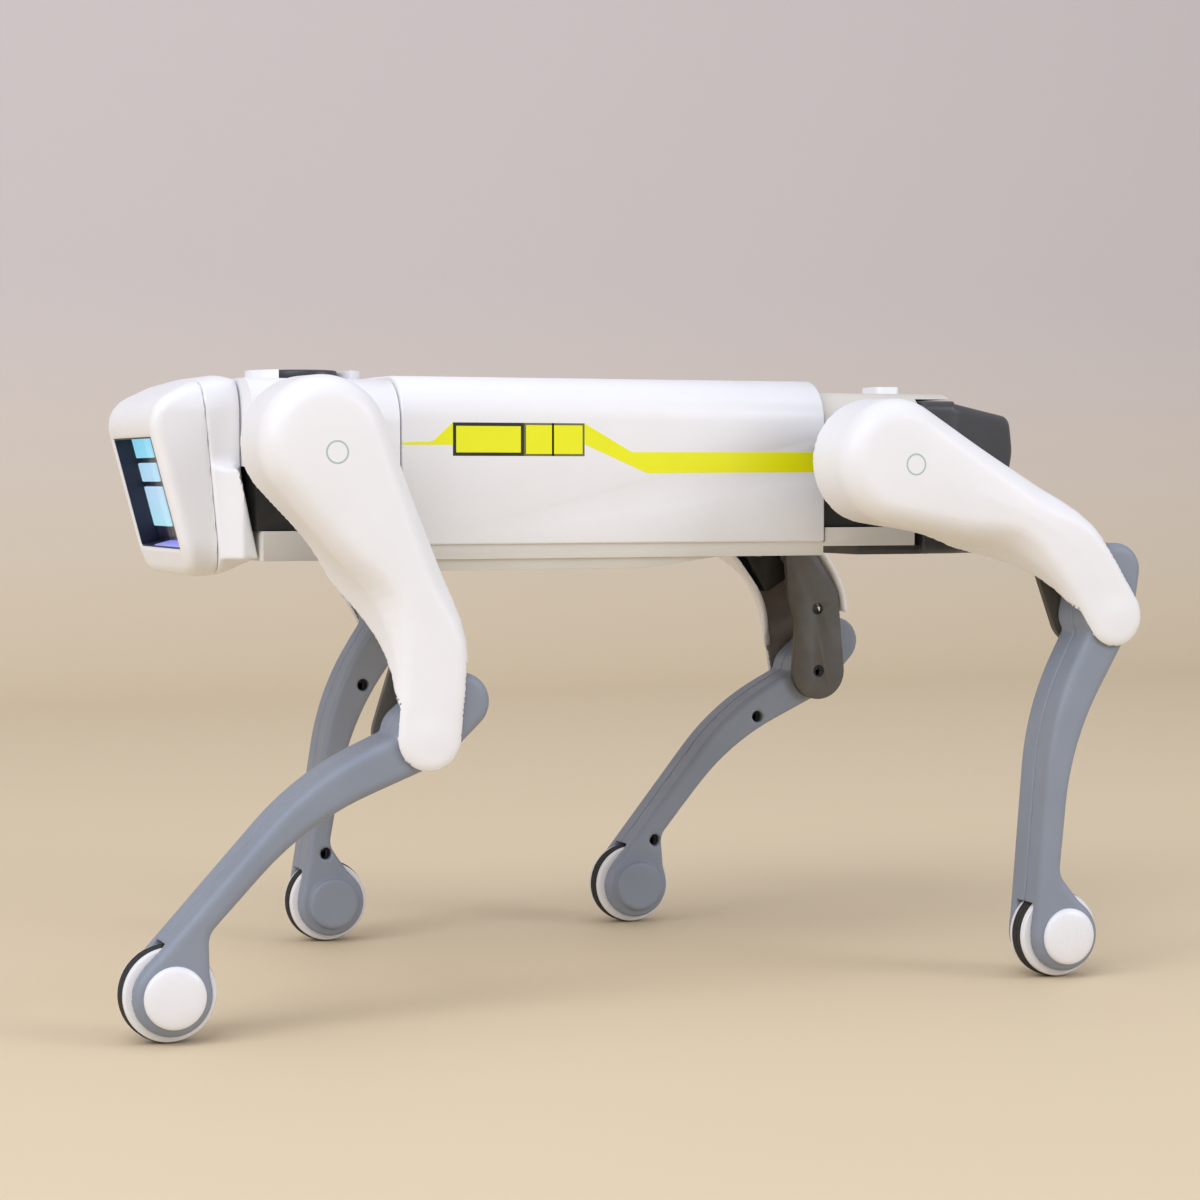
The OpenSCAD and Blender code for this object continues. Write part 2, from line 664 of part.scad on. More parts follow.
// The tail cap's plan, narrowing towards its end
module tail_plan(inset, z0, z1) translate([0, 0, z0]) linear_extrude(z1 - z0) polygon(rounded([
    [rear_x1 - 2, inset - tail_half_w, 0], [rear_x1 + 14, inset - tail_half_w, 10],
    [tail_x1 + 1 - inset, inset - tail_end_w, 8], [tail_x1 + 1 - inset, tail_end_w - inset, 8],
    [rear_x1 + 14, tail_half_w - inset, 10], [rear_x1 - 2, tail_half_w - inset, 0]]));

module tail_cap() color(CHARCOAL) placed() {
    difference() {
        intersection() {
            across(body_half_w) tail_outline(0);
            tail_plan(0, tray_z - 1, deck_h);
            along_x(rear_x1, tail_x1 + 2) body_section(2, tray_z - 1, rear_deck_z + 0.6);
        }
        intersection() {
            translate([-shell_t, 0, 0]) across(body_half_w - 6) tail_outline(shell_t);
            tail_plan(4, tray_z - 1, deck_h);
        }
        translate([tail_x1 - 15, -4.6, charge_z - 1.7]) cube([20, 9.2, 3.4]);
        // well under the power button
        translate([power_x - power_size[0] / 2 - 1.8, -power_size[1] / 2 - 1.8, rear_deck_z - 9])
            cube([power_size[0] + 3.6, power_size[1] + 3.6, 10]);
    }
    // lip that runs forward under the belly tray
    translate([rear_hip[0] + 9, 4 - body_half_w, tray_z])
        cube([rear_x1 - rear_hip[0] - 9 + seam + 3, 2 * body_half_w - 8, strip_z - rear_strip_h - tray_z]);
}
module charge_socket() color("silver") placed() difference() {
    translate([tail_x1 - 15, -4.5, charge_z - 1.6]) cube([7.5, 9, 3.2]);
    translate([tail_x1 - 13, -4.1, charge_z - 1.2]) cube([7.5, 8.2, 2.4]);
}

module belly_tray() color(SHADE) placed() difference() {
    union() {
        difference() {
            union() {
                along_x(tray_x0, body_x0 - seam) translate([-tray_half_w, tray_z])
                    square([2 * tray_half_w, strip_z - tray_z]);
                along_x(body_x0 - seam - 1, body_x1) translate([-tray_half_w, tray_z])
                    square([2 * tray_half_w, crease_z - tray_z]);
                along_x(body_x1 - 1, body_x1 + seam + 1) translate([-tray_half_w, strip_z - rear_strip_h])
                    square([2 * tray_half_w, crease_z - strip_z + rear_strip_h]);
                along_x(body_x1 + seam, tray_x1) translate([-tray_half_w, strip_z - rear_strip_h])
                    square([2 * tray_half_w, rear_strip_h]);
            }
            along_x(tray_x0 + shell_t, body_x1 - 1 - shell_t)
                translate([shell_t - tray_half_w, tray_z + shell_t])
                    square([2 * (tray_half_w - shell_t), through]);
            along_x(body_x1 - 3, tray_x1 - shell_t)
                translate([shell_t - tray_half_w, strip_z - rear_strip_h + shell_t])
                    square([2 * (tray_half_w - shell_t), through]);
        }
        // battery bay with a ramp behind it
        across(bay_half_w) polygon([[bay_x0, bay_z], [bay_x1, bay_z], [bay_x1 + bay_ramp, tray_z],
            [bay_x1 + bay_ramp, tray_z + shell_t], [bay_x0, tray_z + shell_t]]);
        for (p = board_holes) translate([board_x + p[0], p[1], tray_z])
            cylinder(r = board_post_r, h = board_z - tray_z);
    }
    // way in for the battery
    translate([bay_x0 + 3, 0.4 - pack_size[1] / 2 - 1, bay_z - 1])
        cube([pack_size[0] + 2, pack_size[1] + 1.2, 20]);
    // the door's channel, with a lip left under each edge
    translate([bay_x0 + door_in - door_play, -door_half_w - door_play, bay_z + lip_t])
        cube([bay_x1 + bay_ramp - bay_x0, 2 * (door_half_w + door_play), door_t - lip_t + door_play]);
    translate([bay_x0 + door_in - door_play, -door_half_w + lip_w, bay_z - 1])
        cube([bay_x1 + bay_ramp - bay_x0, 2 * (door_half_w - lip_w), door_t]);
    for (p = case_screw_places) translate([p[0], p[1], tray_z - 1]) {
        cylinder(r = screw_shank_r + 0.1, h = through);
        cylinder(r = screw_head_r + 0.2, h = 2 * screw_head_h);
    }
}
module battery_door() color(SHADE) placed() {
    difference() {
        union() {
            translate([bay_x0 + door_in, door_play + lip_w - door_half_w, bay_z])
                cube([bay_x1 - bay_x0 - door_in, 2 * (door_half_w - lip_w - door_play), door_t]);
            translate([bay_x0 + door_in, -door_half_w, bay_z + lip_t + door_play])
                cube([bay_x1 - bay_x0 - door_in, 2 * door_half_w, door_t - lip_t - door_play]);
        }
        // thumb grooves
        for (i = [0 : 5]) translate([bay_x1 - groove_in - groove_pitch * i, -groove_l / 2, bay_z - 1])
            cube([groove_w, groove_l, 1 + groove_w / 3]);
    }
}

module battery_pack() color("#2E6FB7") placed()
    translate([bay_x0 + 4, -pack_size[1] / 2, bay_z + door_t + 0.5])
        along_x(0, pack_size[0]) round_rect(0, pack_size[1], 0, pack_size[2], 4);

// Hip frame: an open box with a bearing tube at each side
module hip_frame(hip, x0, x1, top_z) {
    difference() {
        union() {
            translate([x0, -frame_half_w, strip_z]) cube([x1 - x0, 2 * frame_half_w, top_z - strip_z]);
            bar(hip[0], hip[1], drum_r, -drum_face, drum_face);
        }
        translate([x0 + frame_wall, -servo_out, strip_z + frame_wall])
            cube([x1 - x0 - 2 * frame_wall, 2 * servo_out, top_z]);
        bar(hip[0], hip[1], drum_r + 1, -servo_out, servo_out);
        bar(hip[0], hip[1], hub_r + run, -2 * drum_face, 2 * drum_face);
    }
}

module front_hip_frame() color(BLACK) placed()
    hip_frame(front_hip, shoulder_x0 + shell_t, shoulder_x1 - 0.4, shoulder_deck_z - 10.5);
module rear_hip_frame() color(BLACK) placed()
    hip_frame(rear_hip, rear_hip[0] - drum_r - 2.3, rear_x1 - shell_t - 0.4, deck_h - 13.5);

module hip_servos() color(BLACK) placed() for (hip = [front_hip, rear_hip]) both_sides()
    translate([hip[0], 0, hip[1]]) rotate([0, 90, 0])
        servo(servo_out, hip_spline_r + run, hip_spline_l + gap);

module main_board() color("#1F6B45") placed() difference() {
    translate([board_x - board_size[0] / 2, -board_size[1] / 2, board_z]) cube(board_size);
    for (p = board_holes) translate([board_x + p[0], p[1], board_z - 1])
        cylinder(r = board_hole_r, h = 5);
}

module speaker() color("dimgray") placed()
    translate([board_x + speaker_back, 0, tray_z + shell_t]) difference() {
        union() {
            cylinder(r = speaker_r, h = speaker_rim_h);
            translate([0, 0, speaker_rim_h - eps])
                cylinder(r1 = speaker_r - shell_t, r2 = magnet_r, h = speaker_h - speaker_rim_h);
        }
        translate([0, 0, -1]) cylinder(r = speaker_r - speaker_rim_h, h = speaker_rim_h - 0.5);
    }

module touch_button() color(CHARCOAL) placed() translate([button_x, 0, shoulder_deck_z]) {
    translate([0, 0, ring_h - button_cap_h]) cylinder(r = button_r, h = button_cap_h + 0.2);
    translate([0, 0, -shell_t - flange_drop]) cylinder(r = button_r - 3, h = shell_t + flange_drop);
    translate([0, 0, -shell_t - flange_drop]) cylinder(r = button_r + 2.5, h = flange_t);
}

module power_button() color(WHITE) placed() translate([power_x, 0, rear_deck_z]) {
    translate([0, 0, -shell_t - 1]) linear_extrude(power_h + shell_t + 1)
        round_rect(-power_size[0] / 2, power_size[0] / 2, -power_size[1] / 2, power_size[1] / 2, power_round);
    translate([-power_size[0] / 2 - power_flange_w, -power_size[1] / 2 - power_flange_w,
            -shell_t - flange_t - 0.4])
        cube([power_size[0] + 2 * power_flange_w, power_size[1] + 2 * power_flange_w, flange_t]);
}

module case_screws() color("silver") placed()
    for (p = case_screw_places) translate([p[0], p[1], tray_z - 1 + 2 * screw_head_h]) {
        translate([0, 0, -screw_head_h]) difference() {
            cylinder(r = screw_head_r, h = screw_head_h);
            for (a = [0, 90]) rotate([0, 0, a])
                translate([-screw_slot_l / 2, -screw_slot_w / 2, -1]) cube([screw_slot_l, screw_slot_w, 1.5]);
        }
        cylinder(r = screw_shank_r, h = screw_l);
    }

// ---- Head ----

// The head's side outline and its front-view section
module head_profile() polygon(rounded([
    [face_at(-face_down)[0], face_at(-face_down)[1], lip_round],
    [front_hip[0] - chin_back, head_bottom, chin_round],
    [tray_x0 - seam, deck_h - jaw_drop, lip_round],
    [shoulder_x0 - seam, shoulder_z - seam, 0],
    [shoulder_x0 - seam, deck_h - 1.5, 1.5],
    [front_hip[0] - crown_back, head_top, brow_round],
    [front_hip[0] - brow_back, deck_h - brow_drop, brow_round],
    [face_at(face_up)[0], face_at(face_up)[1], forehead_round],
]));
module head_section(inset) round_rect(inset - head_half_w, head_half_w - inset,
    head_bottom - 3 + inset, head_top + 2 - inset, cheek_round);
// The room inside the head, left open to the body behind it
module head_hollow() translate([past_head, head_bottom + lip_round])
    square([2 * face_ahead + 10, head_top - head_bottom - 2 * lip_round]);
// A point of the face plane, measured up along it from its middle
function face_at(up) = face_mid + up * [-sin(face_lean), cos(face_lean)];

module head_solid(inset) intersection() {
    across(head_half_w + 1) head_profile();
    along_x(past_head, front_hip[0]) head_section(inset);
}

// Everything in front of the seam, moved forward by a gap
module ahead_of_seam(back) across(head_half_w + 5) polygon([
    head_seam_top + [-back, 10], head_seam_bottom + [-back, -10],
    [past_head, head_bottom - 10], [past_head, head_top + 10]]);

// The face plane's own frame: X up along the face, Z out of it
module on_face() translate([face_mid[0], 0, face_mid[1]]) rotate([0, -90 - face_lean, 0]) children();

module head_bezel() color(WHITE) placed() difference() {
    intersection() {
        head_solid(0);
        ahead_of_seam(0);
    }
    on_face() {
        translate([-window_h / 2, -window_w / 2, -window_d]) cube([window_h, window_w, through]);
        translate([-window_h / 2 - 1.5, -window_w / 2 - 1.5, -through])
            cube([window_h + 3, window_w + 3, through - window_d]);
    }
}

// The wider collar behind the head that closes off the front hips' bay
module collar(inset) translate([0, 0, head_collar_z0 + inset])
    linear_extrude(shoulder_z - seam - head_collar_z0 - 2 * inset) polygon([
        [front_hip[0] - collar_front, inset - head_half_w + 1],
        [front_hip[0] - collar_side, inset - collar_half_w],
        [front_hip[0] - collar_rear, inset - collar_half_w],
        [front_hip[0] - collar_rear, collar_half_w - inset],
        [front_hip[0] - collar_side, collar_half_w - inset],
        [front_hip[0] - collar_front, head_half_w - 1 - inset]]);
// Everything ahead of the collar's slanted rear edge
module collar_edge(back) across(body_half_w) polygon([
    [tray_x0 - 0.1 - collar_slant - back, shoulder_z + 5], [tray_x0 - 0.1 - back, tray_z],
    [past_head, tray_z], [past_head, shoulder_z + 5]]);

module head_shell() color(WHITE) placed() difference() {
    union() {
        head_solid(0);
        intersection() {
            collar(0);
            collar_edge(0);
        }
    }
    ahead_of_seam(-seam / 2);
    intersection() {
        across(head_half_w - shell_t) head_hollow();
        along_x(past_head, front_hip[0] + 10) head_section(shell_t);
    }
    intersection() {
        collar(shell_t);
        collar_edge(-5);
    }
}
module face_lens() color("#9FE8F8", 0.4) placed() on_face()
    translate([lens_play - window_h / 2, lens_play - window_w / 2, led_h + lens_play - window_d])
        cube([window_h - 2 * lens_play, window_w - 2 * lens_play, lens_t]);

module face_display() color("#2F3A55") placed() on_face() {
    translate([-window_h / 2 - 1.4, -window_w / 2 - 1.4, -window_d - display_t])
        cube([window_h + 2.8, window_w + 2.8, display_t]);
    for (s = [-1, 1]) for (i = [0 : len(led_bars) - 1])
        translate([led_foot(i), s * eye_y - eye_w / 2, -window_d - eps])
            cube([led_bars[i], eye_w, led_h + eps]);
}
top_shell();
shoulder_cover();
rear_cover();
tail_cap();
belly_tray();
battery_door();
battery_pack();
front_hip_frame();
rear_hip_frame();
head_bezel();
head_shell();
face_lens();
face_display();
main_board();
speaker();
touch_button();
power_button();
charge_socket();
hip_servos();
case_screws();
for (leg = LEGS) {
    thigh_shell(leg);
    thigh_plate(leg);
    knee_servo(leg);
    crank(leg);
    push_rod(leg);
    shin_outer(leg);
    shin_inner(leg);
    axle_cap(leg);
    wheel(leg);
    tyre(leg);
}
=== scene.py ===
import json
import math
from itertools import product

import bpy
import bmesh
import numpy as np
from mathutils import Matrix, Vector


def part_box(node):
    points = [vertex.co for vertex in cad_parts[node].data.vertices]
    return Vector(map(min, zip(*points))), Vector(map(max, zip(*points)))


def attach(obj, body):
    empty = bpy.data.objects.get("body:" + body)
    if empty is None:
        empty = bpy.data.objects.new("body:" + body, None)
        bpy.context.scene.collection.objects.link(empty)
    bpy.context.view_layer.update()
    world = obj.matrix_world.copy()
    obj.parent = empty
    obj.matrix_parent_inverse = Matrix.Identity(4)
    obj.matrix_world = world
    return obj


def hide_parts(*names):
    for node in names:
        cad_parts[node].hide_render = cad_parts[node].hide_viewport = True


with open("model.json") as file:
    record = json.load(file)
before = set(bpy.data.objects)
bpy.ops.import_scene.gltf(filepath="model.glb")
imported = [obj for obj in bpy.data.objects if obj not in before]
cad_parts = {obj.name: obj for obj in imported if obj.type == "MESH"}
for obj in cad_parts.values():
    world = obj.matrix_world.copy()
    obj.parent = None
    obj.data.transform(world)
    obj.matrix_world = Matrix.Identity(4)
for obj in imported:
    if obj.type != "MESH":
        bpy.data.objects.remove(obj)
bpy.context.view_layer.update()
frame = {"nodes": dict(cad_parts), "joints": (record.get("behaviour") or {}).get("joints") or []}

MM = 0.001
JOINTS = {joint["name"]: joint for joint in frame["joints"]}
LEGS = ("front_left", "rear_left", "front_right", "rear_right")

# ---------------------------------------------------------------- finishes


def linear(colour):
    """An sRGB hex colour as linear red, green, blue and alpha."""
    parts = [int(colour[i : i + 2], 16) / 255 for i in (1, 3, 5)]
    return [c / 12.92 if c <= 0.04045 else ((c + 0.055) / 1.055) ** 2.4 for c in parts] + [1]


def add(tree, kind, inputs=None, **settings):
    """Adds one node with its settings; an input that is a socket is linked, any other is set."""
    node = tree.nodes.new(kind)
    for key, value in settings.items():
        setattr(node, key, value)
    for key, value in (inputs or {}).items():
        if isinstance(value, bpy.types.NodeSocket):
            tree.links.new(value, node.inputs[key])
        else:
            node.inputs[key].default_value = value
    return node


def finish(name, colour, **principled):
    """A material with one Principled shader, and its tree, shader and object coordinates."""
    material = bpy.data.materials.new(name)
    material.use_nodes = True
    tree = material.node_tree
    tree.nodes.clear()
    shader = add(tree, "ShaderNodeBsdfPrincipled", {"Base Color": linear(colour), **principled})
    add(tree, "ShaderNodeOutputMaterial", {"Surface": shader.outputs[0]})
    place = add(tree, "ShaderNodeTexCoord").outputs["Object"]
    return material, tree, shader, place


def moulded(name, colour, second, roughness, grain, depth, worn=None, mottle=45.0, **principled):
    """Injection-moulded plastic. grain is the spark-eroded texture's pitch and depth its height,
    and mottle the size of the faint flow marks, all in mm; worn is the colour of rubbed edges."""
    material, tree, shader, place = finish(name, colour, **principled)
    flow = add(tree, "ShaderNodeTexNoise",
               {"Vector": place, "Scale": 1 / (mottle * MM), "Detail": 3.0, "Roughness": 0.55})
    tone = add(tree, "ShaderNodeMapRange",
               {"Value": flow.outputs["Fac"], "From Min": 0.35, "From Max": 0.7})
    mix = add(tree, "ShaderNodeMix", {0: tone.outputs[0], 6: linear(colour), 7: linear(second)},
              data_type="RGBA")
    out = mix.outputs[2]
    if worn:
        # corners and edges rub to a paler, smoother skin
        edge = add(tree, "ShaderNodeMapRange",
                   {"Value": add(tree, "ShaderNodeNewGeometry").outputs["Pointiness"],
                    "From Min": 0.54, "From Max": 0.66, "To Max": 0.55})
        out = add(tree, "ShaderNodeMix", {0: edge.outputs[0], 6: out, 7: linear(worn)},
                  data_type="RGBA").outputs[2]
    tree.links.new(out, shader.inputs["Base Color"])
    wipe = add(tree, "ShaderNodeTexNoise",
               {"Vector": place, "Scale": 1 / (9 * MM), "Detail": 4.0, "Roughness": 0.6})
    gloss = add(tree, "ShaderNodeMapRange",
                {"Value": wipe.outputs["Fac"], "From Min": 0.3, "From Max": 0.75,
                 "To Min": roughness - 0.05, "To Max": roughness + 0.07})
    tree.links.new(gloss.outputs[0], shader.inputs["Roughness"])
    spark = add(tree, "ShaderNodeTexNoise",
                {"Vector": place, "Scale": 1 / (grain * MM), "Detail": 2.0, "Roughness": 0.6})
    bump = add(tree, "ShaderNodeBump",
               {"Height": spark.outputs["Fac"], "Strength": 0.7, "Distance": depth * MM})
    tree.links.new(bump.outputs[0], shader.inputs["Normal"])
    return material


def flecked(name, colour, second, roughness, pitch, depth, **principled):
    """Metal, rubber or card: a cellular pattern of the given pitch in mm tints and dents it."""
    material, tree, shader, place = finish(name, colour, Roughness=roughness, **principled)
    cells = add(tree, "ShaderNodeTexVoronoi", {"Vector": place, "Scale": 1 / (pitch * MM)})
    tone = add(tree, "ShaderNodeMapRange",
               {"Value": cells.outputs["Distance"], "From Max": 0.8, "To Max": 0.8})
    mix = add(tree, "ShaderNodeMix", {0: tone.outputs[0], 6: linear(colour), 7: linear(second)},
              data_type="RGBA")
    tree.links.new(mix.outputs[2], shader.inputs["Base Color"])
    bump = add(tree, "ShaderNodeBump",
               {"Height": cells.outputs["Distance"], "Strength": 0.5, "Distance": depth * MM})
    tree.links.new(bump.outputs[0], shader.inputs["Normal"])
    return material


# White ABS, moulded and fine spark-eroded: soft satin gloss with an even, barely warm white
white_abs = moulded("white_satin_abs", "#F0EFF0", "#EBEAEA", 0.40, 0.55, 0.010, worn="#F5F4F5")
# The same ABS in a warmer batch for the tray, rear deck and door: it looks like pale putty
putty_abs = moulded("putty_satin_abs", "#DAD6CC", "#D2CDC2", 0.46, 0.6, 0.012, worn="#E3E0D8")
# Blue-grey PC/ABS of the shins, matt textured tool: diffuse with a broad weak highlight
grey_pc = moulded("blue_grey_matt_pc", "#8B929E", "#828995", 0.50, 0.5, 0.016, worn="#A3A9B4")
# Smoked grey-brown glass-filled nylon of the inner thigh plates: cloudy and half matt
smoke_nylon = moulded("smoke_filled_nylon", "#5C5850", "#4E4A43", 0.52, 0.7, 0.02,
                      worn="#77756B", mottle=14)
# Charcoal ABS of the tail cap, fine satin texture
charcoal_abs = moulded("charcoal_satin_abs", "#3D3D40", "#353538", 0.40, 0.6, 0.014,
                       worn="#545457")
# Black nylon of frames and servo cases, coarse matt texture
black_nylon = moulded("black_matt_nylon", "#2A2927", "#201F1E", 0.60, 0.8, 0.03, worn="#45433F")
# Acetal linkage parts: waxy, slightly see-through pale plastic
acetal = moulded("waxy_acetal", "#B5AFA8", "#A59E98", 0.34, 1.2, 0.006, worn="#C9C4BD")
# White gloss ABS of the rollers and axle caps: tighter highlight than the shell
gloss_abs = moulded("white_gloss_abs", "#EEEDEF", "#E8E7E8", 0.26, 0.9, 0.004)
# Thermoplastic rubber of the tyres: dark, dusty and rough
rubber = flecked("tyre_rubber", "#232323", "#35332F", 0.82, 0.7, 0.03)
# Zinc-plated steel screws: cool metal with a fine crystalline plating
zinc_steel = flecked("zinc_plated_steel", "#A9ABAE", "#8F9194", 0.36, 0.35, 0.004, Metallic=1.0)
# Black-oxide steel of the leg screws, down in their holes
black_steel = flecked("black_oxide_steel", "#232326", "#18181A", 0.6, 0.4, 0.004, Metallic=0.3)
# Nickel-plated shell of the charge socket
nickel = flecked("nickel_plate", "#C6C4BE", "#ADABA6", 0.24, 0.5, 0.002, Metallic=1.0)
# Pulp paper of the loudspeaker cone
cone_paper = flecked("pulp_paper", "#3A3936", "#2C2B29", 0.9, 0.5, 0.05)
# Blue heat-shrink sleeve of the battery pack: glossy PVC with slight ripples
sleeve_pvc = moulded("blue_shrink_pvc", "#2E6FB7", "#28639F", 0.22, 6.0, 0.12)
# Pad-printed inks on the shell: flat colour, slightly glossier than the plastic
lime_ink = moulded("lime_ink", "#F0F00A", "#E8E908", 0.36, 0.5, 0.006)
black_ink = moulded("black_ink", "#26261C", "#1F1F18", 0.36, 0.5, 0.006)
olive_ink = moulded("olive_grey_ink", "#6E7038", "#65672F", 0.36, 0.5, 0.006)
sage_ink = moulded("sage_ink", "#B2C3BA", "#A6B9AF", 0.36, 0.5, 0.006)
# Navy satin liner of the face recess
navy_abs = moulded("navy_satin_abs", "#20263F", "#1B2036", 0.38, 0.6, 0.01)


def green_board():
    """FR4 board under green solder mask: copper tracks show as slightly raised, lighter lines."""
    material, tree, shader, place = finish("green_solder_mask", "#1F6B45", Roughness=0.3)
    tracks = add(tree, "ShaderNodeTexBrick",
                 {"Vector": place, "Scale": 1 / (12 * MM), "Mortar Size": 0.035,
                  "Color1": linear("#1F6B45"), "Color2": linear("#1B5F3D"),
                  "Mortar": linear("#3E9A63")})
    tree.links.new(tracks.outputs["Color"], shader.inputs["Base Color"])
    bump = add(tree, "ShaderNodeBump",
               {"Height": tracks.outputs["Fac"], "Strength": 0.4, "Distance": 0.05 * MM})
    tree.links.new(bump.outputs[0], shader.inputs["Normal"])
    return material


def lit(name, top, foot, z0, z1, strength):
    """A backlit diffuser: its colour runs from foot at height z0 to top at z1, with a cell grid."""
    material, tree, shader, place = finish(name, "#1C2230", Roughness=0.3)
    height = add(tree, "ShaderNodeSeparateXYZ", {0: place}).outputs["Z"]
    rise = add(tree, "ShaderNodeMapRange", {"Value": height, "From Min": z0, "From Max": z1})
    mix = add(tree, "ShaderNodeMix", {0: rise.outputs[0], 6: linear(foot), 7: linear(top)},
              data_type="RGBA")
    tree.links.new(mix.outputs[2], shader.inputs["Emission Color"])
    shader.inputs["Emission Strength"].default_value = strength
    cells = add(tree, "ShaderNodeTexVoronoi", {"Vector": place, "Scale": 1 / (1.2 * MM)},
                distance="CHEBYCHEV")
    bump = add(tree, "ShaderNodeBump",
               {"Height": cells.outputs["Distance"], "Strength": 0.2, "Distance": 0.05 * MM})
    tree.links.new(bump.outputs[0], shader.inputs["Normal"])
    return material


def clear_window():
    """Clear acrylic with an anti-glare coat and the faintest wipe marks in it."""
    material, tree, shader, place = finish("coated_clear_acrylic", "#FFFFFF", IOR=1.06)
    shader.inputs["Transmission Weight"].default_value = 1.0
    wipe = add(tree, "ShaderNodeTexNoise", {"Vector": place, "Scale": 1 / (8 * MM), "Detail": 3.0})
    gloss = add(tree, "ShaderNodeMapRange",
                {"Value": wipe.outputs["Fac"], "To Min": 0.0, "To Max": 0.06})
    tree.links.new(gloss.outputs[0], shader.inputs["Roughness"])
    return material


def shaded_inside(material, colour):
    """Paints shade in the given colour onto the faces that look towards the body from deep inside a
    cover of the legs.
    """
    tree = material.node_tree
    shader = next(node for node in tree.nodes if node.type == "BSDF_PRINCIPLED")
    place = add(tree, "ShaderNodeTexCoord").outputs
    across = add(tree, "ShaderNodeSeparateXYZ", {0: place["Object"]}).outputs["Y"]
    facing = add(tree, "ShaderNodeSeparateXYZ", {0: place["Normal"]}).outputs["Y"]
    outward = add(tree, "ShaderNodeMath", {0: across, 1: facing}, operation="MULTIPLY").outputs[0]
    # painted shade: full on faces 84 mm or more out that look towards the body, fading out by 78 mm
    deep = add(tree, "ShaderNodeMapRange", {"Value": outward, "From Min": -84 * MM,
                                            "From Max": -78 * MM, "To Min": 1.0, "To Max": 0.0})
    white = shader.inputs["Base Color"].links[0].from_socket
    mix = add(tree, "ShaderNodeMix", {0: deep.outputs[0], 6: white, 7: linear(colour)},
              data_type="RGBA")
    tree.links.new(mix.outputs[2], shader.inputs["Base Color"])
    return material


# The thigh covers' white ABS, with grey-brown shade painted on the deep inner face
cover_abs = shaded_inside(moulded("white_abs_painted_shade_inside", "#F0EFF0", "#EBEAEA", 0.40, 0.55,
                                  0.010, worn="#F5F4F5"), "#857B74")
board_mask = green_board()
acrylic = clear_window()

# ---------------------------------------------------------------- making meshes

MERGE = 0.002  # doubles closer than this are merged, mm
FLAT = 0.4  # faces of a CAD node within this many degrees are one face
EASE_ANGLE = 32  # edges sharper than this many degrees are eased


def mesh_of(points, faces, name):
    """A mesh from arrays of points in metres and of faces with equal corner counts."""
    mesh = bpy.data.meshes.new(name)
    corners = faces.shape[1]
    mesh.vertices.add(len(points))
    mesh.vertices.foreach_set("co", np.asarray(points, np.float32).ravel())
    mesh.loops.add(faces.size)
    mesh.loops.foreach_set("vertex_index", faces.astype(np.int32).ravel())
    mesh.polygons.add(len(faces))
    mesh.polygons.foreach_set("loop_start", np.arange(len(faces), dtype=np.int32) * corners)
    mesh.update(calc_edges=True)
    return mesh


def piece(name, mesh, material, body, replaces=(), smooth=None):
    """Puts a finished mesh on its body; smooth is the angle in degrees under which edges blend."""
    thing = bpy.data.objects.new(name, mesh)
    bpy.context.scene.collection.objects.link(thing)
    mesh.materials.clear()
    mesh.materials.append(material)
    mesh.shade_smooth()
    if smooth:
        mesh.set_sharp_from_angle(angle=math.radians(smooth))
    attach(thing, body)
    if replaces:
        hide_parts(*replaces)
    return thing


def tidy(mesh, flat=None):
    """Merges doubles; then joins faces within the angle flat, or, if flat isn't given, turns the
    faces outwards.
    """
    bm = bmesh.new()
    bm.from_mesh(mesh)
    bmesh.ops.remove_doubles(bm, verts=bm.verts, dist=MERGE * MM)
    if flat:
        bmesh.ops.dissolve_limit(bm, angle_limit=math.radians(flat), verts=bm.verts,
                                 edges=bm.edges)
    else:
        bmesh.ops.recalc_face_normals(bm, faces=bm.faces)
    bm.to_mesh(mesh)
    bm.free()
    return mesh


def baked(thing):
    """The object's mesh with its modifiers made real and removed."""
    graph = bpy.context.evaluated_depsgraph_get()
    mesh = bpy.data.meshes.new_from_object(thing.evaluated_get(graph), depsgraph=graph)
    bpy.data.objects.remove(thing)
    return mesh


def eased(node, material, radius, body):
    """A copy of a CAD node with every hard edge eased to a small radius, as a moulding has."""
    mesh = tidy(frame["nodes"][node].data.copy(), flat=FLAT)
    thing = bpy.data.objects.new("blank", mesh)
    bpy.context.scene.collection.objects.link(thing)
    mesh.shade_smooth()
    bevel = thing.modifiers.new("ease", "BEVEL")
    bevel.width = radius * MM
    bevel.segments = 2
    bevel.limit_method = "ANGLE"
    bevel.angle_limit = math.radians(EASE_ANGLE)
    bevel.harden_normals = True
    bevel.use_clamp_overlap = True
    return piece(node + "_moulding", baked(thing), material, body, (node,))


SCREW_R, SCREW_H = 2.0, 1.0  # a leg screw's head, mm
RECESS_L, RECESS_W = 2.6, 0.5  # each arm of its cross recess, mm
RECESS_LIFT = 0.7  # how far the recess is lifted out of the head, as a share of the head's height


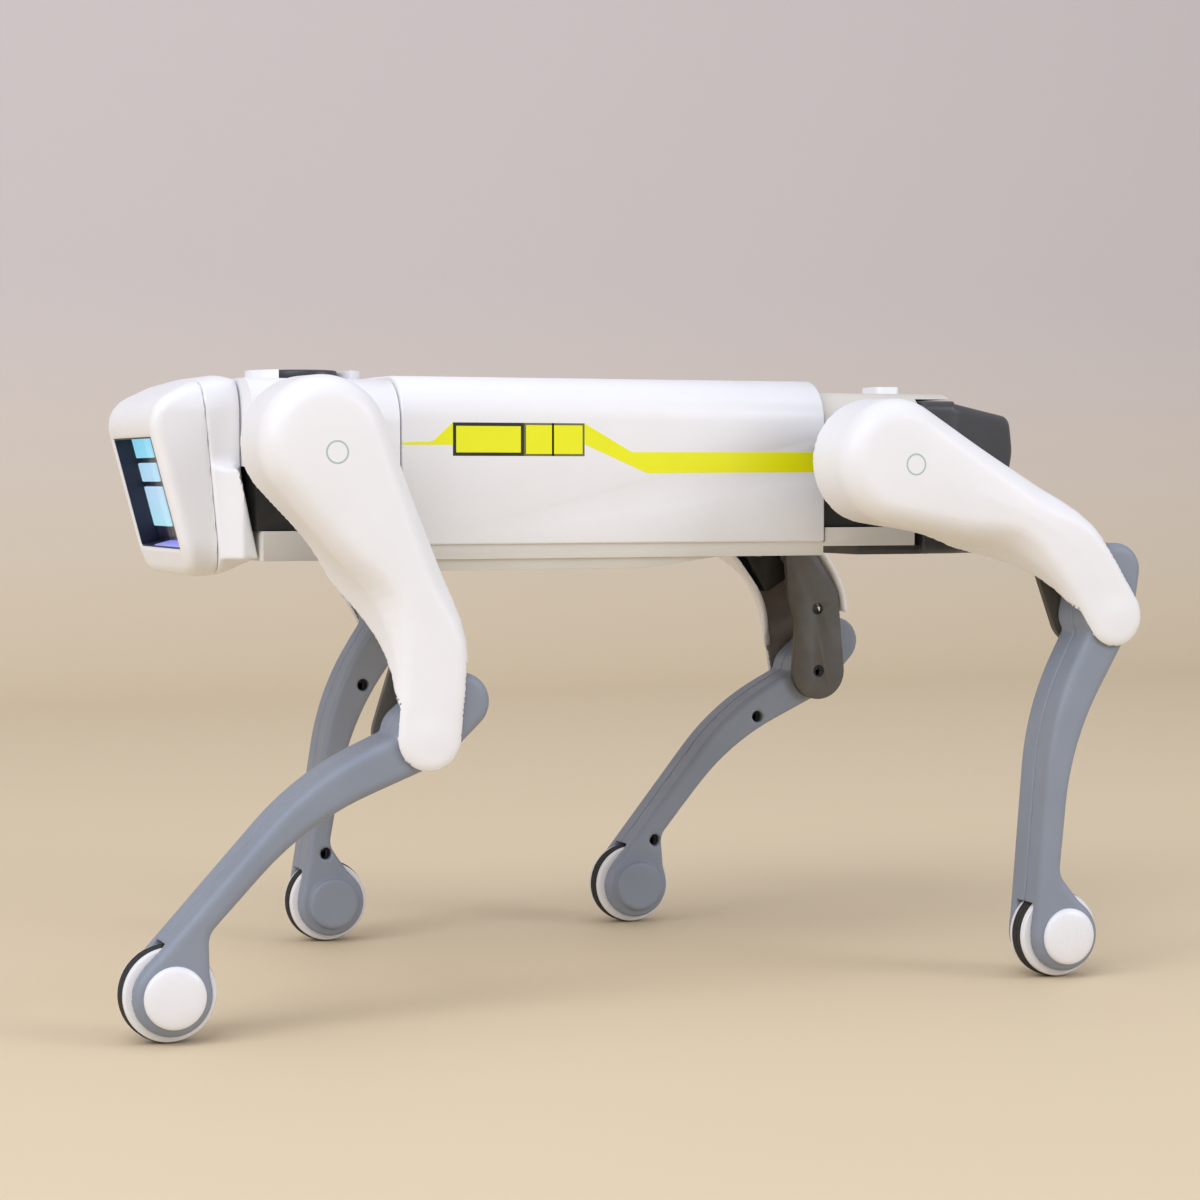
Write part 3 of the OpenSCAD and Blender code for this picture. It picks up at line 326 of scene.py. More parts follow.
def screw_tree():
    """Geometry nodes that set a cross-recessed screw head on each point, tilted to face one way."""
    tree = bpy.data.node_groups.new("cross_recessed_screws", "GeometryNodeTree")
    sockets = {}
    for label, kind in (
        ("Places", "Geometry"), ("Head Radius", "Float"), ("Head Height", "Float"),
        ("Recess Length", "Float"), ("Recess Width", "Float"), ("Tilt", "Float"),
        ("Finish", "Material"),
    ):
        item = tree.interface.new_socket(label, in_out="INPUT", socket_type="NodeSocket" + kind)
        sockets[label] = item.identifier
    tree.interface.new_socket("Screws", in_out="OUTPUT", socket_type="NodeSocketGeometry")
    given = add(tree, "NodeGroupInput").outputs
    head = add(tree, "GeometryNodeMeshCylinder",
               {"Vertices": 28, "Radius": given["Head Radius"], "Depth": given["Head Height"]})
    slots = add(tree, "GeometryNodeJoinGeometry")
    for order in ((0, 1), (1, 0)):
        size = add(tree, "ShaderNodeCombineXYZ",
                   {order[0]: given["Recess Length"], order[1]: given["Recess Width"],
                    2: given["Head Height"]})
        slot = add(tree, "GeometryNodeMeshCube", {"Size": size.outputs[0]})
        tree.links.new(slot.outputs["Mesh"], slots.inputs["Geometry"])
    height = add(tree, "ShaderNodeMath", {0: given["Head Height"], 1: RECESS_LIFT},
                 operation="MULTIPLY")
    lift = add(tree, "ShaderNodeCombineXYZ", {2: height.outputs[0]})
    raised = add(tree, "GeometryNodeTransform",
                 {"Geometry": slots.outputs[0], "Translation": lift.outputs[0]})
    screw = add(tree, "GeometryNodeMeshBoolean",
                {"Mesh 1": head.outputs["Mesh"], "Mesh 2": raised.outputs[0]},
                operation="DIFFERENCE", solver="MANIFOLD")
    tilt = add(tree, "ShaderNodeCombineXYZ", {0: given["Tilt"]})
    turn = add(tree, "FunctionNodeEulerToRotation", {0: tilt.outputs[0]})
    spread = add(tree, "GeometryNodeInstanceOnPoints",
                 {"Points": given["Places"], "Instance": screw.outputs["Mesh"],
                  "Rotation": turn.outputs[0]})
    solid = add(tree, "GeometryNodeRealizeInstances", {0: spread.outputs[0]})
    named = add(tree, "GeometryNodeSetMaterial",
                {"Geometry": solid.outputs[0], "Material": given["Finish"]})
    add(tree, "NodeGroupOutput", {0: named.outputs[0]})
    return tree, sockets


SCREW_TREE, SCREW_SOCKETS = screw_tree()


def screws(name, places, side, material, body):
    """Screw heads centred at the places (metres); they face the toy's middle from a leg's side."""
    thing = bpy.data.objects.new("places", bpy.data.meshes.new("places"))
    thing.data.from_pydata([tuple(p) for p in places], [], [])
    bpy.context.scene.collection.objects.link(thing)
    nodes = thing.modifiers.new("screws", "NODES")
    nodes.node_group = SCREW_TREE
    for label, value in (("Head Radius", SCREW_R * MM), ("Head Height", SCREW_H * MM),
                         ("Recess Length", RECESS_L * MM), ("Recess Width", RECESS_W * MM),
                         ("Tilt", side * math.pi / 2), ("Finish", material)):
        nodes[SCREW_SOCKETS[label]] = value
    return piece(name, baked(thing), material, body, smooth=30)


def turned(profile, steps=96, closed=False):
    """Points and quads turned about the Y axis from a profile of (radius, y) points in mm."""
    ring = np.asarray(profile, float)
    angles = np.arange(steps) * 2 * math.pi / steps
    r, y = ring[:, 0][:, None], ring[:, 1][:, None]
    points = np.stack([r * np.cos(angles), y + 0 * angles, r * np.sin(angles)], -1)
    rows = len(ring) if closed else len(ring) - 1
    i, k = np.meshgrid(np.arange(rows), np.arange(steps), indexing="ij")
    j, m = (i + 1) % len(ring), (k + 1) % steps
    faces = np.stack([i * steps + k, i * steps + m, j * steps + m, j * steps + k], -1)
    return points.reshape(-1, 3), faces.reshape(-1, 4)


# ---------------------------------------------------------------- solid shapes by distance
# Each shape takes points in mm and gives the distance to its surface, negative inside.


def join(a, b, soft):
    """Union with a fillet of about the given radius."""
    h = np.clip(0.5 + 0.5 * (b - a) / soft, 0, 1)
    return b * (1 - h) + a * h - soft * h * (1 - h)


def meet(a, b, round_r):
    """Intersection whose edge is rounded to the given radius."""
    far = np.hypot(np.maximum(a + round_r, 0), np.maximum(b + round_r, 0))
    return np.minimum(np.maximum(a, b), -round_r) + far


def cut(a, b, round_r=0.35):
    """a without b, the edge rounded."""
    return meet(a, -b, round_r)


def between(x, low, high):
    return np.maximum(low - x, x - high)


def disc(u, v, cu, cv, r):
    return np.hypot(u - cu, v - cv) - r


def tapered(u, v, au, av, ar, bu, bv, br):
    """Two circles and the tangents between them."""
    du, dv = bu - au, bv - av
    length = np.hypot(du, dv)
    along = ((u - au) * du + (v - av) * dv) / length
    across = np.abs((u - au) * dv - (v - av) * du) / length
    slope = (ar - br) / length
    rise = np.sqrt(1 - slope * slope)
    k = rise * along - slope * across
    body = across * rise + along * slope - ar
    start = np.hypot(across, along) - ar
    end = np.hypot(across, along - length) - br
    return np.where(k < 0, start, np.where(k > rise * length, end, body))


def rounded(corners, steps=10):
    """Points of an outline whose corners are rounded: each corner is (x, y, radius)."""
    out = []
    for i, (x, y, r) in enumerate(corners):
        here = np.array([x, y])
        back = np.array(corners[i - 1][:2]) - here
        on = np.array(corners[(i + 1) % len(corners)][:2]) - here
        if not r:
            out.append(here)
            continue
        back, on = back / np.linalg.norm(back), on / np.linalg.norm(on)
        half = math.acos(float(back @ on)) / 2
        mid = (back + on) / np.linalg.norm(back + on)
        centre = here + mid * r / math.sin(half)
        a = here + back * r / math.tan(half) - centre
        b = here + on * r / math.tan(half) - centre
        start = math.atan2(a[1], a[0])
        turn = (math.atan2(b[1], b[0]) - start + math.pi) % (2 * math.pi) - math.pi
        for k in range(steps + 1):
            angle = start + turn * k / steps
            out.append(centre + r * np.array([math.cos(angle), math.sin(angle)]))
    return out


def outline(x, y, corners):
    """Distance to a closed outline of straight sides."""
    nearest = np.full(x.shape, np.inf)
    inside = np.zeros(x.shape, bool)
    for i, b in enumerate(corners):
        a = corners[i - 1]
        ex, ey = b[0] - a[0], b[1] - a[1]
        wx, wy = x - a[0], y - a[1]
        t = np.clip((wx * ex + wy * ey) / (ex * ex + ey * ey + 1e-12), 0, 1)
        nearest = np.minimum(nearest, (wx - ex * t) ** 2 + (wy - ey * t) ** 2)
        crossing = (a[1] > y) != (b[1] > y)
        with np.errstate(divide="ignore", invalid="ignore"):
            inside ^= crossing & (x < a[0] + (y - a[1]) * ex / (ey if ey else 1e-12))
    return np.sqrt(nearest) * np.where(inside, -1, 1)


def skin(shape, low, high, cell):
    """Points and quads of a shape's surface between two corners, on a grid of the cell size."""
    low = np.asarray(low, float)
    counts = np.ceil((np.asarray(high, float) - low) / cell).astype(int) + 1
    axes = [low[k] + cell * np.arange(counts[k]) for k in range(3)]
    d = shape(np.stack(np.meshgrid(*axes, indexing="ij"), -1).reshape(-1, 3)).reshape(counts)
    total = np.zeros(tuple(counts - 1) + (3,))
    hits = np.zeros(tuple(counts - 1))
    crossings = []
    for k in range(3):
        a = np.take(d, range(counts[k] - 1), axis=k)
        b = np.take(d, range(1, counts[k]), axis=k)
        crossed = (a < 0) != (b < 0)
        counted = [np.arange(n) for n in a.shape]
        at = np.stack(np.meshgrid(*counted, indexing="ij"), -1).astype(float)
        at[..., k] += np.where(crossed, a / np.where(crossed, a - b, 1), 0)
        others = [m for m in range(3) if m != k]
        for offset in product((0, 1), repeat=2):
            window = [slice(None)] * 3
            for m, o in zip(others, offset):
                window[m] = slice(o, o + counts[m] - 1)
            w = crossed[tuple(window)]
            total += at[tuple(window)] * w[..., None]
            hits += w
        crossings.append((k, others, crossed, a < 0))
    mixed = hits > 0
    index = np.full(mixed.shape, -1)
    index[mixed] = np.arange(mixed.sum())
    points = low + cell * total[mixed] / hits[mixed][:, None]
    faces = []
    for k, others, crossed, starts_inside in crossings:
        edges = np.argwhere(crossed)
        m, n = others
        edges = edges[(edges[:, m] > 0) & (edges[:, n] > 0)]
        edges = edges[(edges[:, m] < counts[m] - 1) & (edges[:, n] < counts[n] - 1)]
        ring = []
        for om, on in ((1, 1), (0, 1), (0, 0), (1, 0)):
            where = edges.copy()
            where[:, m] -= om
            where[:, n] -= on
            ring.append(index[tuple(where.T)])
        quads = np.stack(ring, -1)
        flip = starts_inside[tuple(edges.T)] == (k == 1)
        quads[flip] = quads[flip][:, ::-1]
        faces.append(quads)
    # two steps along the slope bring the points onto the surface
    step = 0.02
    for _ in range(2):
        here = shape(points)
        slope = np.stack([(shape(points + step * axis) - here) / step for axis in np.eye(3)], -1)
        move = here[:, None] * slope / np.maximum((slope ** 2).sum(-1, keepdims=True), 0.2)
        points = points - np.clip(move, -0.5 * cell, 0.5 * cell)
    return points, np.concatenate(faces)


# ---------------------------------------------------------------- legs

SHIN_T = 20.0
LEG_MID = 82.2
SHIN_IN, SHIN_OUT = LEG_MID - SHIN_T / 2, LEG_MID + SHIN_T / 2
PLATE_OUT = SHIN_IN - 0.5
PLATE_IN, RIM_IN = PLATE_OUT - 2.5, PLATE_OUT - 3.5
FACE_IN = SHIN_OUT + 0.7
THIGH_OUT = FACE_IN + 2.3
ROD_IN = PLATE_OUT + 1.3
LEVER_IN = ROD_IN + 3.4
THIGH_L, SHIN_L = 94.5, 108.0
HIP_R, KNEE_R = 20.0, 10.8
HAIR = 0.06  # pieces stay this far inside the solids' outer faces and seams
COVER_WALL, COVER_EDGE = 1.9, 7.0  # a cover's side wall and the rounding of its outer edge
KNEE_EDGE_LOSS = 2.8  # the edge is this much tighter at the knee
KNOB_R, KNOB_HALF = 30, 7  # dome radius and half width of the low button over the knee
SPLIT_V, SLANT_START = 1.9, 42  # the rear room's lower edge; where the front wall starts to slant
KNEE_POST_R, SCREW_POST_R = 3.8, 2.4
# Circles along the thigh: distance from the hip, then height and radius at the rim and the face
RINGS = [
    (0, -1, HIP_R + 0.5, -1, HIP_R + 0.3),
    (THIGH_L * 0.27, 5.2, 16, 4.4, 15.5),
    (THIGH_L * 0.51, 9.3, 15.9, 10, 10.6),
    (THIGH_L * 0.74, 10.3, 15.7, 9.9, 11.4),
    (THIGH_L + 0.3, 0, KNEE_R, 0.2, KNEE_R + 0.5),
]
PLATE_SCREWS = [(-12.6, -6.6), (10, -12.2), (26, 15.5)]
SHIN_SCREWS = [(29, -6.2), (SHIN_L - 17, -6.4)]
LEVER_L, LEVER_V, LEVER_R, KNEE_BOSS_R = 15.5, 0.5, 9.0, 9.5
FOOT_R, WELL_R, WHEEL_W = 12.0, 15.4, 10.0
KNEE_BORE_R = 4.2
FOOT_PAD_R, FOOT_PAD_H = 9.0, 2.3
SCREW_HOLE_R, SCREW_HOLE_DEPTH = 2.2, 3.5
LEVER_CLEAR = 6.1  # the lever is thinner than the shin up to here from the knee
PIN_U, PIN_R = -10, 1.5
STRUT = rounded([
    (5, -6.6, 0), (34, -17, 95), (SHIN_L - 0.5, 0.05 - FOOT_R, 0), (SHIN_L - 7, 9, 0),
    (SHIN_L - 20, -5.4, 7), (44, -7.6, 95), (3.4, 8.8, 0)])


def leg_frame(leg, start, end):
    """The place of a limb that runs from one joint to the next, and the side of the body."""
    a, b = JOINTS[leg + start]["pos_m"], JOINTS[leg + end]["pos_m"]
    return (a[0], a[2]), math.atan2(a[2] - b[2], b[0] - a[0]), -1 if leg.endswith("left") else 1


def placed(points, place):
    """Points of a limb, (along, outwards, across) in mm, in the toy's frame in metres."""
    (x, z), angle, side = place
    u, y, v = (np.asarray(points, float) * MM).T
    c, s = math.cos(angle), math.sin(angle)
    return np.stack([x + u * c + v * s, side * y, z - u * s + v * c], -1)


def limb_mesh(points, faces, place, name):
    """A limb's mesh; on the left side the mirrored faces are turned back."""
    faces = faces[:, ::-1] if place[2] < 0 else faces
    return mesh_of(placed(points, place), faces, name)


def flowing(rings, per_span=4):
    """More stations between the given ones, on smooth curves through them all."""
    rings = np.array(rings, float)
    along = rings[:, 0]
    slopes = np.gradient(rings, along, axis=0)
    out = []
    for a, b, sa, sb in zip(rings, rings[1:], slopes, slopes[1:]):
        for t in np.arange(per_span) / per_span:
            span = b[0] - a[0]
            ring = ((2 * t ** 3 - 3 * t ** 2 + 1) * a + (t ** 3 - 2 * t ** 2 + t) * span * sa
                    + (3 * t ** 2 - 2 * t ** 3) * b + (t ** 3 - t ** 2) * span * sb)
            ring[0] = a[0] + t * span
            out.append(ring)
    return out + [rings[-1]]


STATIONS = flowing(RINGS)


def thigh_side(u, y, v):
    """The thigh's side outline at a height y."""
    t = np.clip((y - RIM_IN) / (THIGH_OUT - 3 - RIM_IN), 0, 1)
    d = None
    for a, b in zip(STATIONS, STATIONS[1:]):
        part = tapered(u, v, a[0], a[1] + (a[3] - a[1]) * t, a[2] + (a[4] - a[2]) * t,
                       b[0], b[1] + (b[3] - b[1]) * t, b[2] + (b[4] - b[2]) * t)
        d = part if d is None else np.minimum(d, part)
    return d


def ease(x, start, end):
    """A smooth step from 0 at start to 1 at end."""
    t = np.clip((x - start) / (end - start), 0, 1)
    return t * t * (3 - 2 * t)


def near_knee(u):
    """How far the thigh's broad form has given way to the knee's, from 0 to 1."""
    return ease(u, THIGH_L - 46, THIGH_L - 20)


def thigh_face(u, side):
    """Height of the domed outer face: a low crown that flattens towards the knee."""
    knee = near_knee(u)
    crown = 1.8 - 1.5 * knee
    return THIGH_OUT - HAIR - crown * (1 + np.clip(side, -17, 0) / 17) ** 2 - 0.3 * knee


def thigh_shape(p):
    """The cover of a thigh, open towards the body."""
    u, y, v = p.T
    side = thigh_side(u, y, v)
    knee = near_knee(u)
    edge = COVER_EDGE - KNEE_EDGE_LOSS * knee
    d = meet(side, y - thigh_face(u, side), edge)
    outer = d
    # the screw cap over the knee stands up as a low button
    knob_y = THIGH_OUT - 2 * HAIR - KNOB_R
    knob = np.sqrt((u - THIGH_L) ** 2 + (y - knob_y) ** 2 + v ** 2) - KNOB_R
    d = join(d, np.maximum(knob, disc(u, v, THIGH_L, 0, KNOB_HALF)), 0.8)
    d = np.maximum(d, RIM_IN - y)
    # the hollow's rounding lies inside the outer one, so the wall stays even
    ceiling = y - FACE_IN + 2.2 - 1.9 * knee
    d = cut(d, meet(side + COVER_WALL, ceiling, edge - COVER_WALL))
    # room for the shin's lever at the rear, and for its boss round the knee
    ceiling = y - FACE_IN + 0.3
    lever = np.maximum(disc(u, v, THIGH_L, 0, LEVER_L + LEVER_R + 0.5), SPLIT_V - v)
    d = cut(d, np.maximum(lever, ceiling), 0.8)
    boss_room = KNEE_BOSS_R + 3
    d = cut(d, np.maximum(disc(u, v, THIGH_L, 0, boss_room), ceiling), 0.6)
    # the front wall slants away towards the knee
    climb = (FACE_IN - 0.3 - RIM_IN) / (THIGH_L - boss_room - SLANT_START)
    slant = (y - RIM_IN - (u - SLANT_START) * climb) / math.hypot(1, climb)
    d = cut(d, np.maximum(np.maximum(slant, ceiling), v - SPLIT_V - 0.1), 0.5)
    posts = disc(u, v, THIGH_L, 0, KNEE_POST_R)
    for pu, pv in PLATE_SCREWS:
        posts = np.minimum(posts, disc(u, v, pu, pv, SCREW_POST_R))
    posts = np.maximum(posts, between(y, PLATE_OUT + 0.02, FACE_IN + 0.2))
    return np.minimum(d, np.maximum(posts, outer + 0.8))


def shin_side(u, v):
    """The shin's side outline: lever and knee boss, curved strut and round foot."""
    lever = tapered(u, v, -LEVER_L, LEVER_V, LEVER_R, 0, 0, KNEE_BOSS_R)
    d = join(lever, outline(u, v, STRUT), 1.0)
    return join(d, disc(u, v, SHIN_L, 0, FOOT_R), 1.0)


def shin_bores(d, u, y, v):
    """Takes the knee's bore and the roller's well out of a shin half."""
    d = cut(d, disc(u, v, 0, 0, KNEE_BORE_R), 0.3)
    reach = WHEEL_W / 2 + 0.3
    well = between(y, LEG_MID - reach, LEG_MID + reach)
    return cut(d, np.maximum(disc(u, v, SHIN_L, 0, WELL_R), well), 0.3)


def shin_outer_shape(p):
    u, y, v = p.T
    d = meet(shin_side(u, v), y - SHIN_OUT, 3.0)
    return shin_bores(meet(d, LEG_MID + HAIR - y, 0.3), u, y, v)


def shin_inner_shape(p):
    u, y, v = p.T
    d = meet(shin_side(u, v), SHIN_IN - y, 2.2)
    d = meet(d, y - LEG_MID + HAIR, 0.3)
    pad = meet(disc(u, v, SHIN_L, 0, FOOT_PAD_R), SHIN_IN - FOOT_PAD_H - y, 0.9)
    d = join(d, np.maximum(pad, y - SHIN_IN - 1), 0.5)
    d = cut(d, np.maximum(u + LEVER_CLEAR, y - LEVER_IN), 0.4)
    for su, sv in SHIN_SCREWS:
        hole = disc(u, v, su, sv, SCREW_HOLE_R)
        d = cut(d, np.maximum(hole, y - SHIN_IN - SCREW_HOLE_DEPTH), 0.25)
    d = shin_bores(d, u, y, v)
    pin = np.maximum(disc(u, v, PIN_U, 0, PIN_R), between(y, ROD_IN - 0.3, LEVER_IN + 1))
    return np.minimum(d, pin)


CELL = 0.8  # grid that the meshes are taken on, mm
thigh_skin = skin(thigh_shape, (-24, RIM_IN - 2, -26), (110, THIGH_OUT + 2, 31), CELL)
shin_outer_skin = skin(shin_outer_shape, (-28, LEG_MID - 2, -22), (124, SHIN_OUT + 2, 15), CELL)
shin_inner_skin = skin(shin_inner_shape, (-28, SHIN_IN - 5, -22), (124, LEG_MID + 2, 15), CELL)

DOME_R, DOME_H = 9.4, 2.5
TYRE_R, RIM_R, TYRE_W = 14.6, 14.1, 5.0
GROOVE = 0.35  # depth of the tyre's two fine grooves
# half profiles of (radius, distance from the leg's middle), from the side to the middle
ROLLER_HALF = [(2.05, WHEEL_W / 2), (12.6, WHEEL_W / 2), (RIM_R - 0.4, 4.7), (RIM_R, 4.1),
               (RIM_R, TYRE_W / 2 + 0.05), (12.1, TYRE_W / 2 + 0.05)]
TYRE_HALF = [(12.12, TYRE_W / 2), (TYRE_R - 0.5, TYRE_W / 2), (TYRE_R - 0.12, 2.1), (TYRE_R, 1.2),
             (TYRE_R - GROOVE, 1.0), (TYRE_R - GROOVE, 0.8), (TYRE_R, 0.6)]


def both_sides(half):
    """A closed profile from its half, mirrored about the leg's middle."""
    near = [(r, LEG_MID - h) for r, h in half]
    return near + [(r, LEG_MID + h) for r, h in reversed(half)]


WHEEL_PROFILE, TYRE_PROFILE = both_sides(ROLLER_HALF), both_sides(TYRE_HALF)
# the axle cap: a domed button with a thin axle behind it
CAP_PROFILE = [(DOME_R * math.sin(a), SHIN_OUT + DOME_H * math.cos(a) ** 0.55)
               for a in np.linspace(0, math.pi / 2, 15)]
CAP_PROFILE += [(2, SHIN_OUT - 0.02), (2, SHIN_IN), (0, SHIN_IN)]


def foot_piece(name, profile, place, material, body, replaces, closed=False):
    """A piece turned about the roller's axle at the end of a shin."""
    points, faces = turned(profile, closed=closed)
    mesh = tidy(mesh_of(placed(points + [SHIN_L, 0, 0], place), faces, name))
    return piece(name, mesh, material, body, replaces, smooth=35)


RING_U, RING_R, RING_T = 3.5, 3.55, 0.5  # the printed ring's place along the thigh, radius, line
PRINT_UP, PRINT_DOWN = 0.04, 0.3  # ink above the plastic, and sunk into it


def ring_mark(name, place, body):
    """The thin printed ring on the thigh's face."""
    steps = 64
    rows = [(RING_R, PRINT_UP), (RING_R - RING_T, PRINT_UP), (RING_R - RING_T, -PRINT_DOWN),
            (RING_R, -PRINT_DOWN)]
    angles = np.arange(steps) * 2 * math.pi / steps
    points = []
    for r, lift in rows:
        u, v = RING_U + r * np.cos(angles), r * np.sin(angles)
        side = thigh_side(u, np.full(steps, THIGH_OUT), v)
        points.append(np.stack([u, thigh_face(u, side) + lift, v], -1))
    i, k = np.meshgrid(np.arange(4), np.arange(steps), indexing="ij")
    j, m = (i + 1) % 4, (k + 1) % steps
    faces = np.stack([i * steps + k, i * steps + m, j * steps + m, j * steps + k], -1)
    mesh = tidy(mesh_of(placed(np.concatenate(points), place), faces.reshape(-1, 4), name))
    return piece(name, mesh, sage_ink, body, smooth=40)


for leg in LEGS:
    thigh = leg_frame(leg, "_hip", "_knee")
    shin = leg_frame(leg, "_knee", "_roll")
    body = {part: leg + "_" + part for part in ("thigh", "shin", "crank", "push_rod", "wheel")}
    name = leg + "_thigh_cover"
    piece(name, limb_mesh(*thigh_skin, thigh, name), cover_abs, body["thigh"],
          (leg + "_thigh_shell",))
    for half, surface in (("outer", shin_outer_skin), ("inner", shin_inner_skin)):
        name = f"{leg}_shin_{half}_half"
        piece(name, limb_mesh(*surface, shin, name), grey_pc, body["shin"],
              (f"{leg}_shin_{half}",))
    ring_mark(leg + "_ring_mark", thigh, body["thigh"])
    eased(leg + "_thigh_plate", smoke_nylon, 0.45, body["thigh"])
    heads = placed([(u, PLATE_IN + 0.75, v) for u, v in PLATE_SCREWS + [(THIGH_L, 0)]], thigh)
    screws(leg + "_plate_screws", heads, thigh[2], black_steel, body["thigh"])
    heads = placed([(u, SHIN_IN + SCREW_HOLE_DEPTH - SCREW_H / 2, v) for u, v in SHIN_SCREWS], shin)
    screws(leg + "_shin_screws", heads, thigh[2], black_steel, body["shin"])
    eased(leg + "_knee_servo", black_nylon, 0.4, body["thigh"])
    eased(leg + "_crank", acetal, 0.3, body["crank"])
    eased(leg + "_push_rod", grey_pc, 0.4, body["push_rod"])
    foot_piece(leg + "_axle_button", CAP_PROFILE, shin, gloss_abs, body["shin"],
               (leg + "_axle_cap",))
    foot_piece(leg + "_roller", WHEEL_PROFILE, shin, gloss_abs, body["wheel"],
               (leg + "_wheel",), closed=True)
    foot_piece(leg + "_tread", TYRE_PROFILE, shin, rubber, body["wheel"],
               (leg + "_tyre",), closed=True)

# ---------------------------------------------------------------- body panels

for node, material, slot, radius, body in (
    ("top_shell", white_abs, "white_shell", 0.7, "torso"),
    ("shoulder_cover", white_abs, "white_shell", 0.6, "torso"),
    ("rear_cover", putty_abs, "warm_white_shell", 0.6, "torso"),
    ("belly_tray", putty_abs, "warm_white_shell", 0.5, "torso"),
    ("battery_door", putty_abs, "warm_white_shell", 0.3, "battery_door"),
    ("front_hip_frame", black_nylon, "black_plastic", 0.5, "torso"),
    ("rear_hip_frame", black_nylon, "black_plastic", 0.5, "torso"),
    ("hip_servos", black_nylon, "black_plastic", 0.5, "torso"),
    ("power_button", white_abs, "white_shell", 0.6, "power_button"),
    ("touch_button", charcoal_abs, "charcoal_shell", 0.8, "touch_button"),
):
    eased(node, material, radius, body)

for node, material in (
    ("battery_pack", sleeve_pvc),
    ("main_board", board_mask),
    ("speaker", cone_paper),
    ("charge_socket", nickel),
    ("case_screws", zinc_steel),
    ("face_lens", acrylic),
):
    mesh = frame["nodes"][node].data
    mesh.materials.clear()
    mesh.materials.append(material)

# ---------------------------------------------------------------- head

FRONT_HIP, REAR_HIP = ((JOINTS[j]["pos_m"][0] / MM, JOINTS[j]["pos_m"][2] / MM)
                       for j in ("front_left_hip", "rear_left_hip"))
SHELL_LOW, SHELL_HIGH = (np.array(corner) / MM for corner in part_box("top_shell"))
DECK, SIDE = SHELL_HIGH[2], SHELL_HIGH[1]
CREASE = SHELL_LOW[2]
TRAY = CREASE - 4.7
SEAM = 0.6
FACE_LEAN = math.radians(14.7)
FACE_MID = np.array([FRONT_HIP[0] - 34.6, DECK - 37.9])
WINDOW_W, WINDOW_H, WINDOW_D = 54.0, 36.6, 7.5
HALF_W, HALF_H = WINDOW_W / 2, WINDOW_H / 2
HEAD_HALF_W, HEAD_TOP = 32.0, DECK + 0.4
HEAD_FOOT = HEAD_TOP - 64.3
HEAD_CORNER, CHEEK_EDGE, HEAD_WALL = 15, 3.6, 2.2
COLLAR_HALF_W, COLLAR_RUN = 40.5, 8  # the collar widens to this half width over this length
TRAY_FRONT = FRONT_HIP[0] - 7.6
SHOULDER_FRONT, SHOULDER_FOOT = FRONT_HIP[0] - 10.7, DECK - 29.3
COLLAR_START = FRONT_HIP[0] - 21


def face_at(up):
    """A point (x, z) of the face plane, measured up along it from its middle."""
    return FACE_MID + up * np.array([-math.sin(FACE_LEAN), math.cos(FACE_LEAN)])


HEAD_SIDE = rounded([
    (*face_at(-27.6), 5), (FRONT_HIP[0] - 15, HEAD_FOOT, 12), (TRAY_FRONT - SEAM, DECK - 58, 3),
    (SHOULDER_FRONT - 0.2, SHOULDER_FOOT - SEAM, 0), (SHOULDER_FRONT - 0.2, DECK - 1.5, 0.8),
    (FRONT_HIP[0] - 16.5, HEAD_TOP, 9), (FRONT_HIP[0] - 27.5, DECK - 3, 9), (*face_at(28.5), 10.5)])
SEAM_TOP = np.array([FRONT_HIP[0] - 23.8, HEAD_TOP])
SEAM_FOOT = np.array([FRONT_HIP[0] - 18, HEAD_FOOT])


def head_solid(x, y, z):
    """The whole head: its side outline, soft at the cheeks, in a round-cornered front view."""
    r = HEAD_CORNER
    across = np.abs(y) - (HEAD_HALF_W - r)
    middle, half = (HEAD_TOP + HEAD_FOOT - 1) / 2, (HEAD_TOP - HEAD_FOOT + 5) / 2
    up = np.abs(z - middle) - (half - r)
    front = np.hypot(np.maximum(across, 0), np.maximum(up, 0)) - r
    front += np.minimum(np.maximum(across, up), 0)
    return meet(outline(x, z, HEAD_SIDE), front, CHEEK_EDGE)


def ahead_of_seam(x, z):
    """Distance ahead of the head's slanted seam, negative behind it."""
    along = SEAM_FOOT - SEAM_TOP
    along = along / np.linalg.norm(along)
    return (x - SEAM_TOP[0]) * along[1] - (z - SEAM_TOP[1]) * along[0]


def face_frame(x, z):
    """Heights along the face and out of it."""
    dx, dz = x - FACE_MID[0], z - FACE_MID[1]
    c, s = math.cos(FACE_LEAN), math.sin(FACE_LEAN)
    return dz * c - dx * s, -dx * c - dz * s


def block(a, b, c, half_a, half_b, c0, c1):
    """A box centred on two axes and between two levels of the third."""
    return np.maximum(np.maximum(np.abs(a) - half_a, np.abs(b) - half_b), between(c, c0, c1))


def bezel_shape(p):
    """The head's front: the window's opening, and a wider seat for the panel behind it."""
    x, y, z = p.T
    d = meet(head_solid(x, y, z), -ahead_of_seam(x, z) + HAIR, 0.5)
    up, out = face_frame(x, z)
    d = cut(d, block(up, y, out, HALF_H, HALF_W, -WINDOW_D - 1, 40), 0.7)
    return cut(d, block(up, y, out, HALF_H + 1.5, HALF_W + 1.5, -60, -WINDOW_D), 0.3)


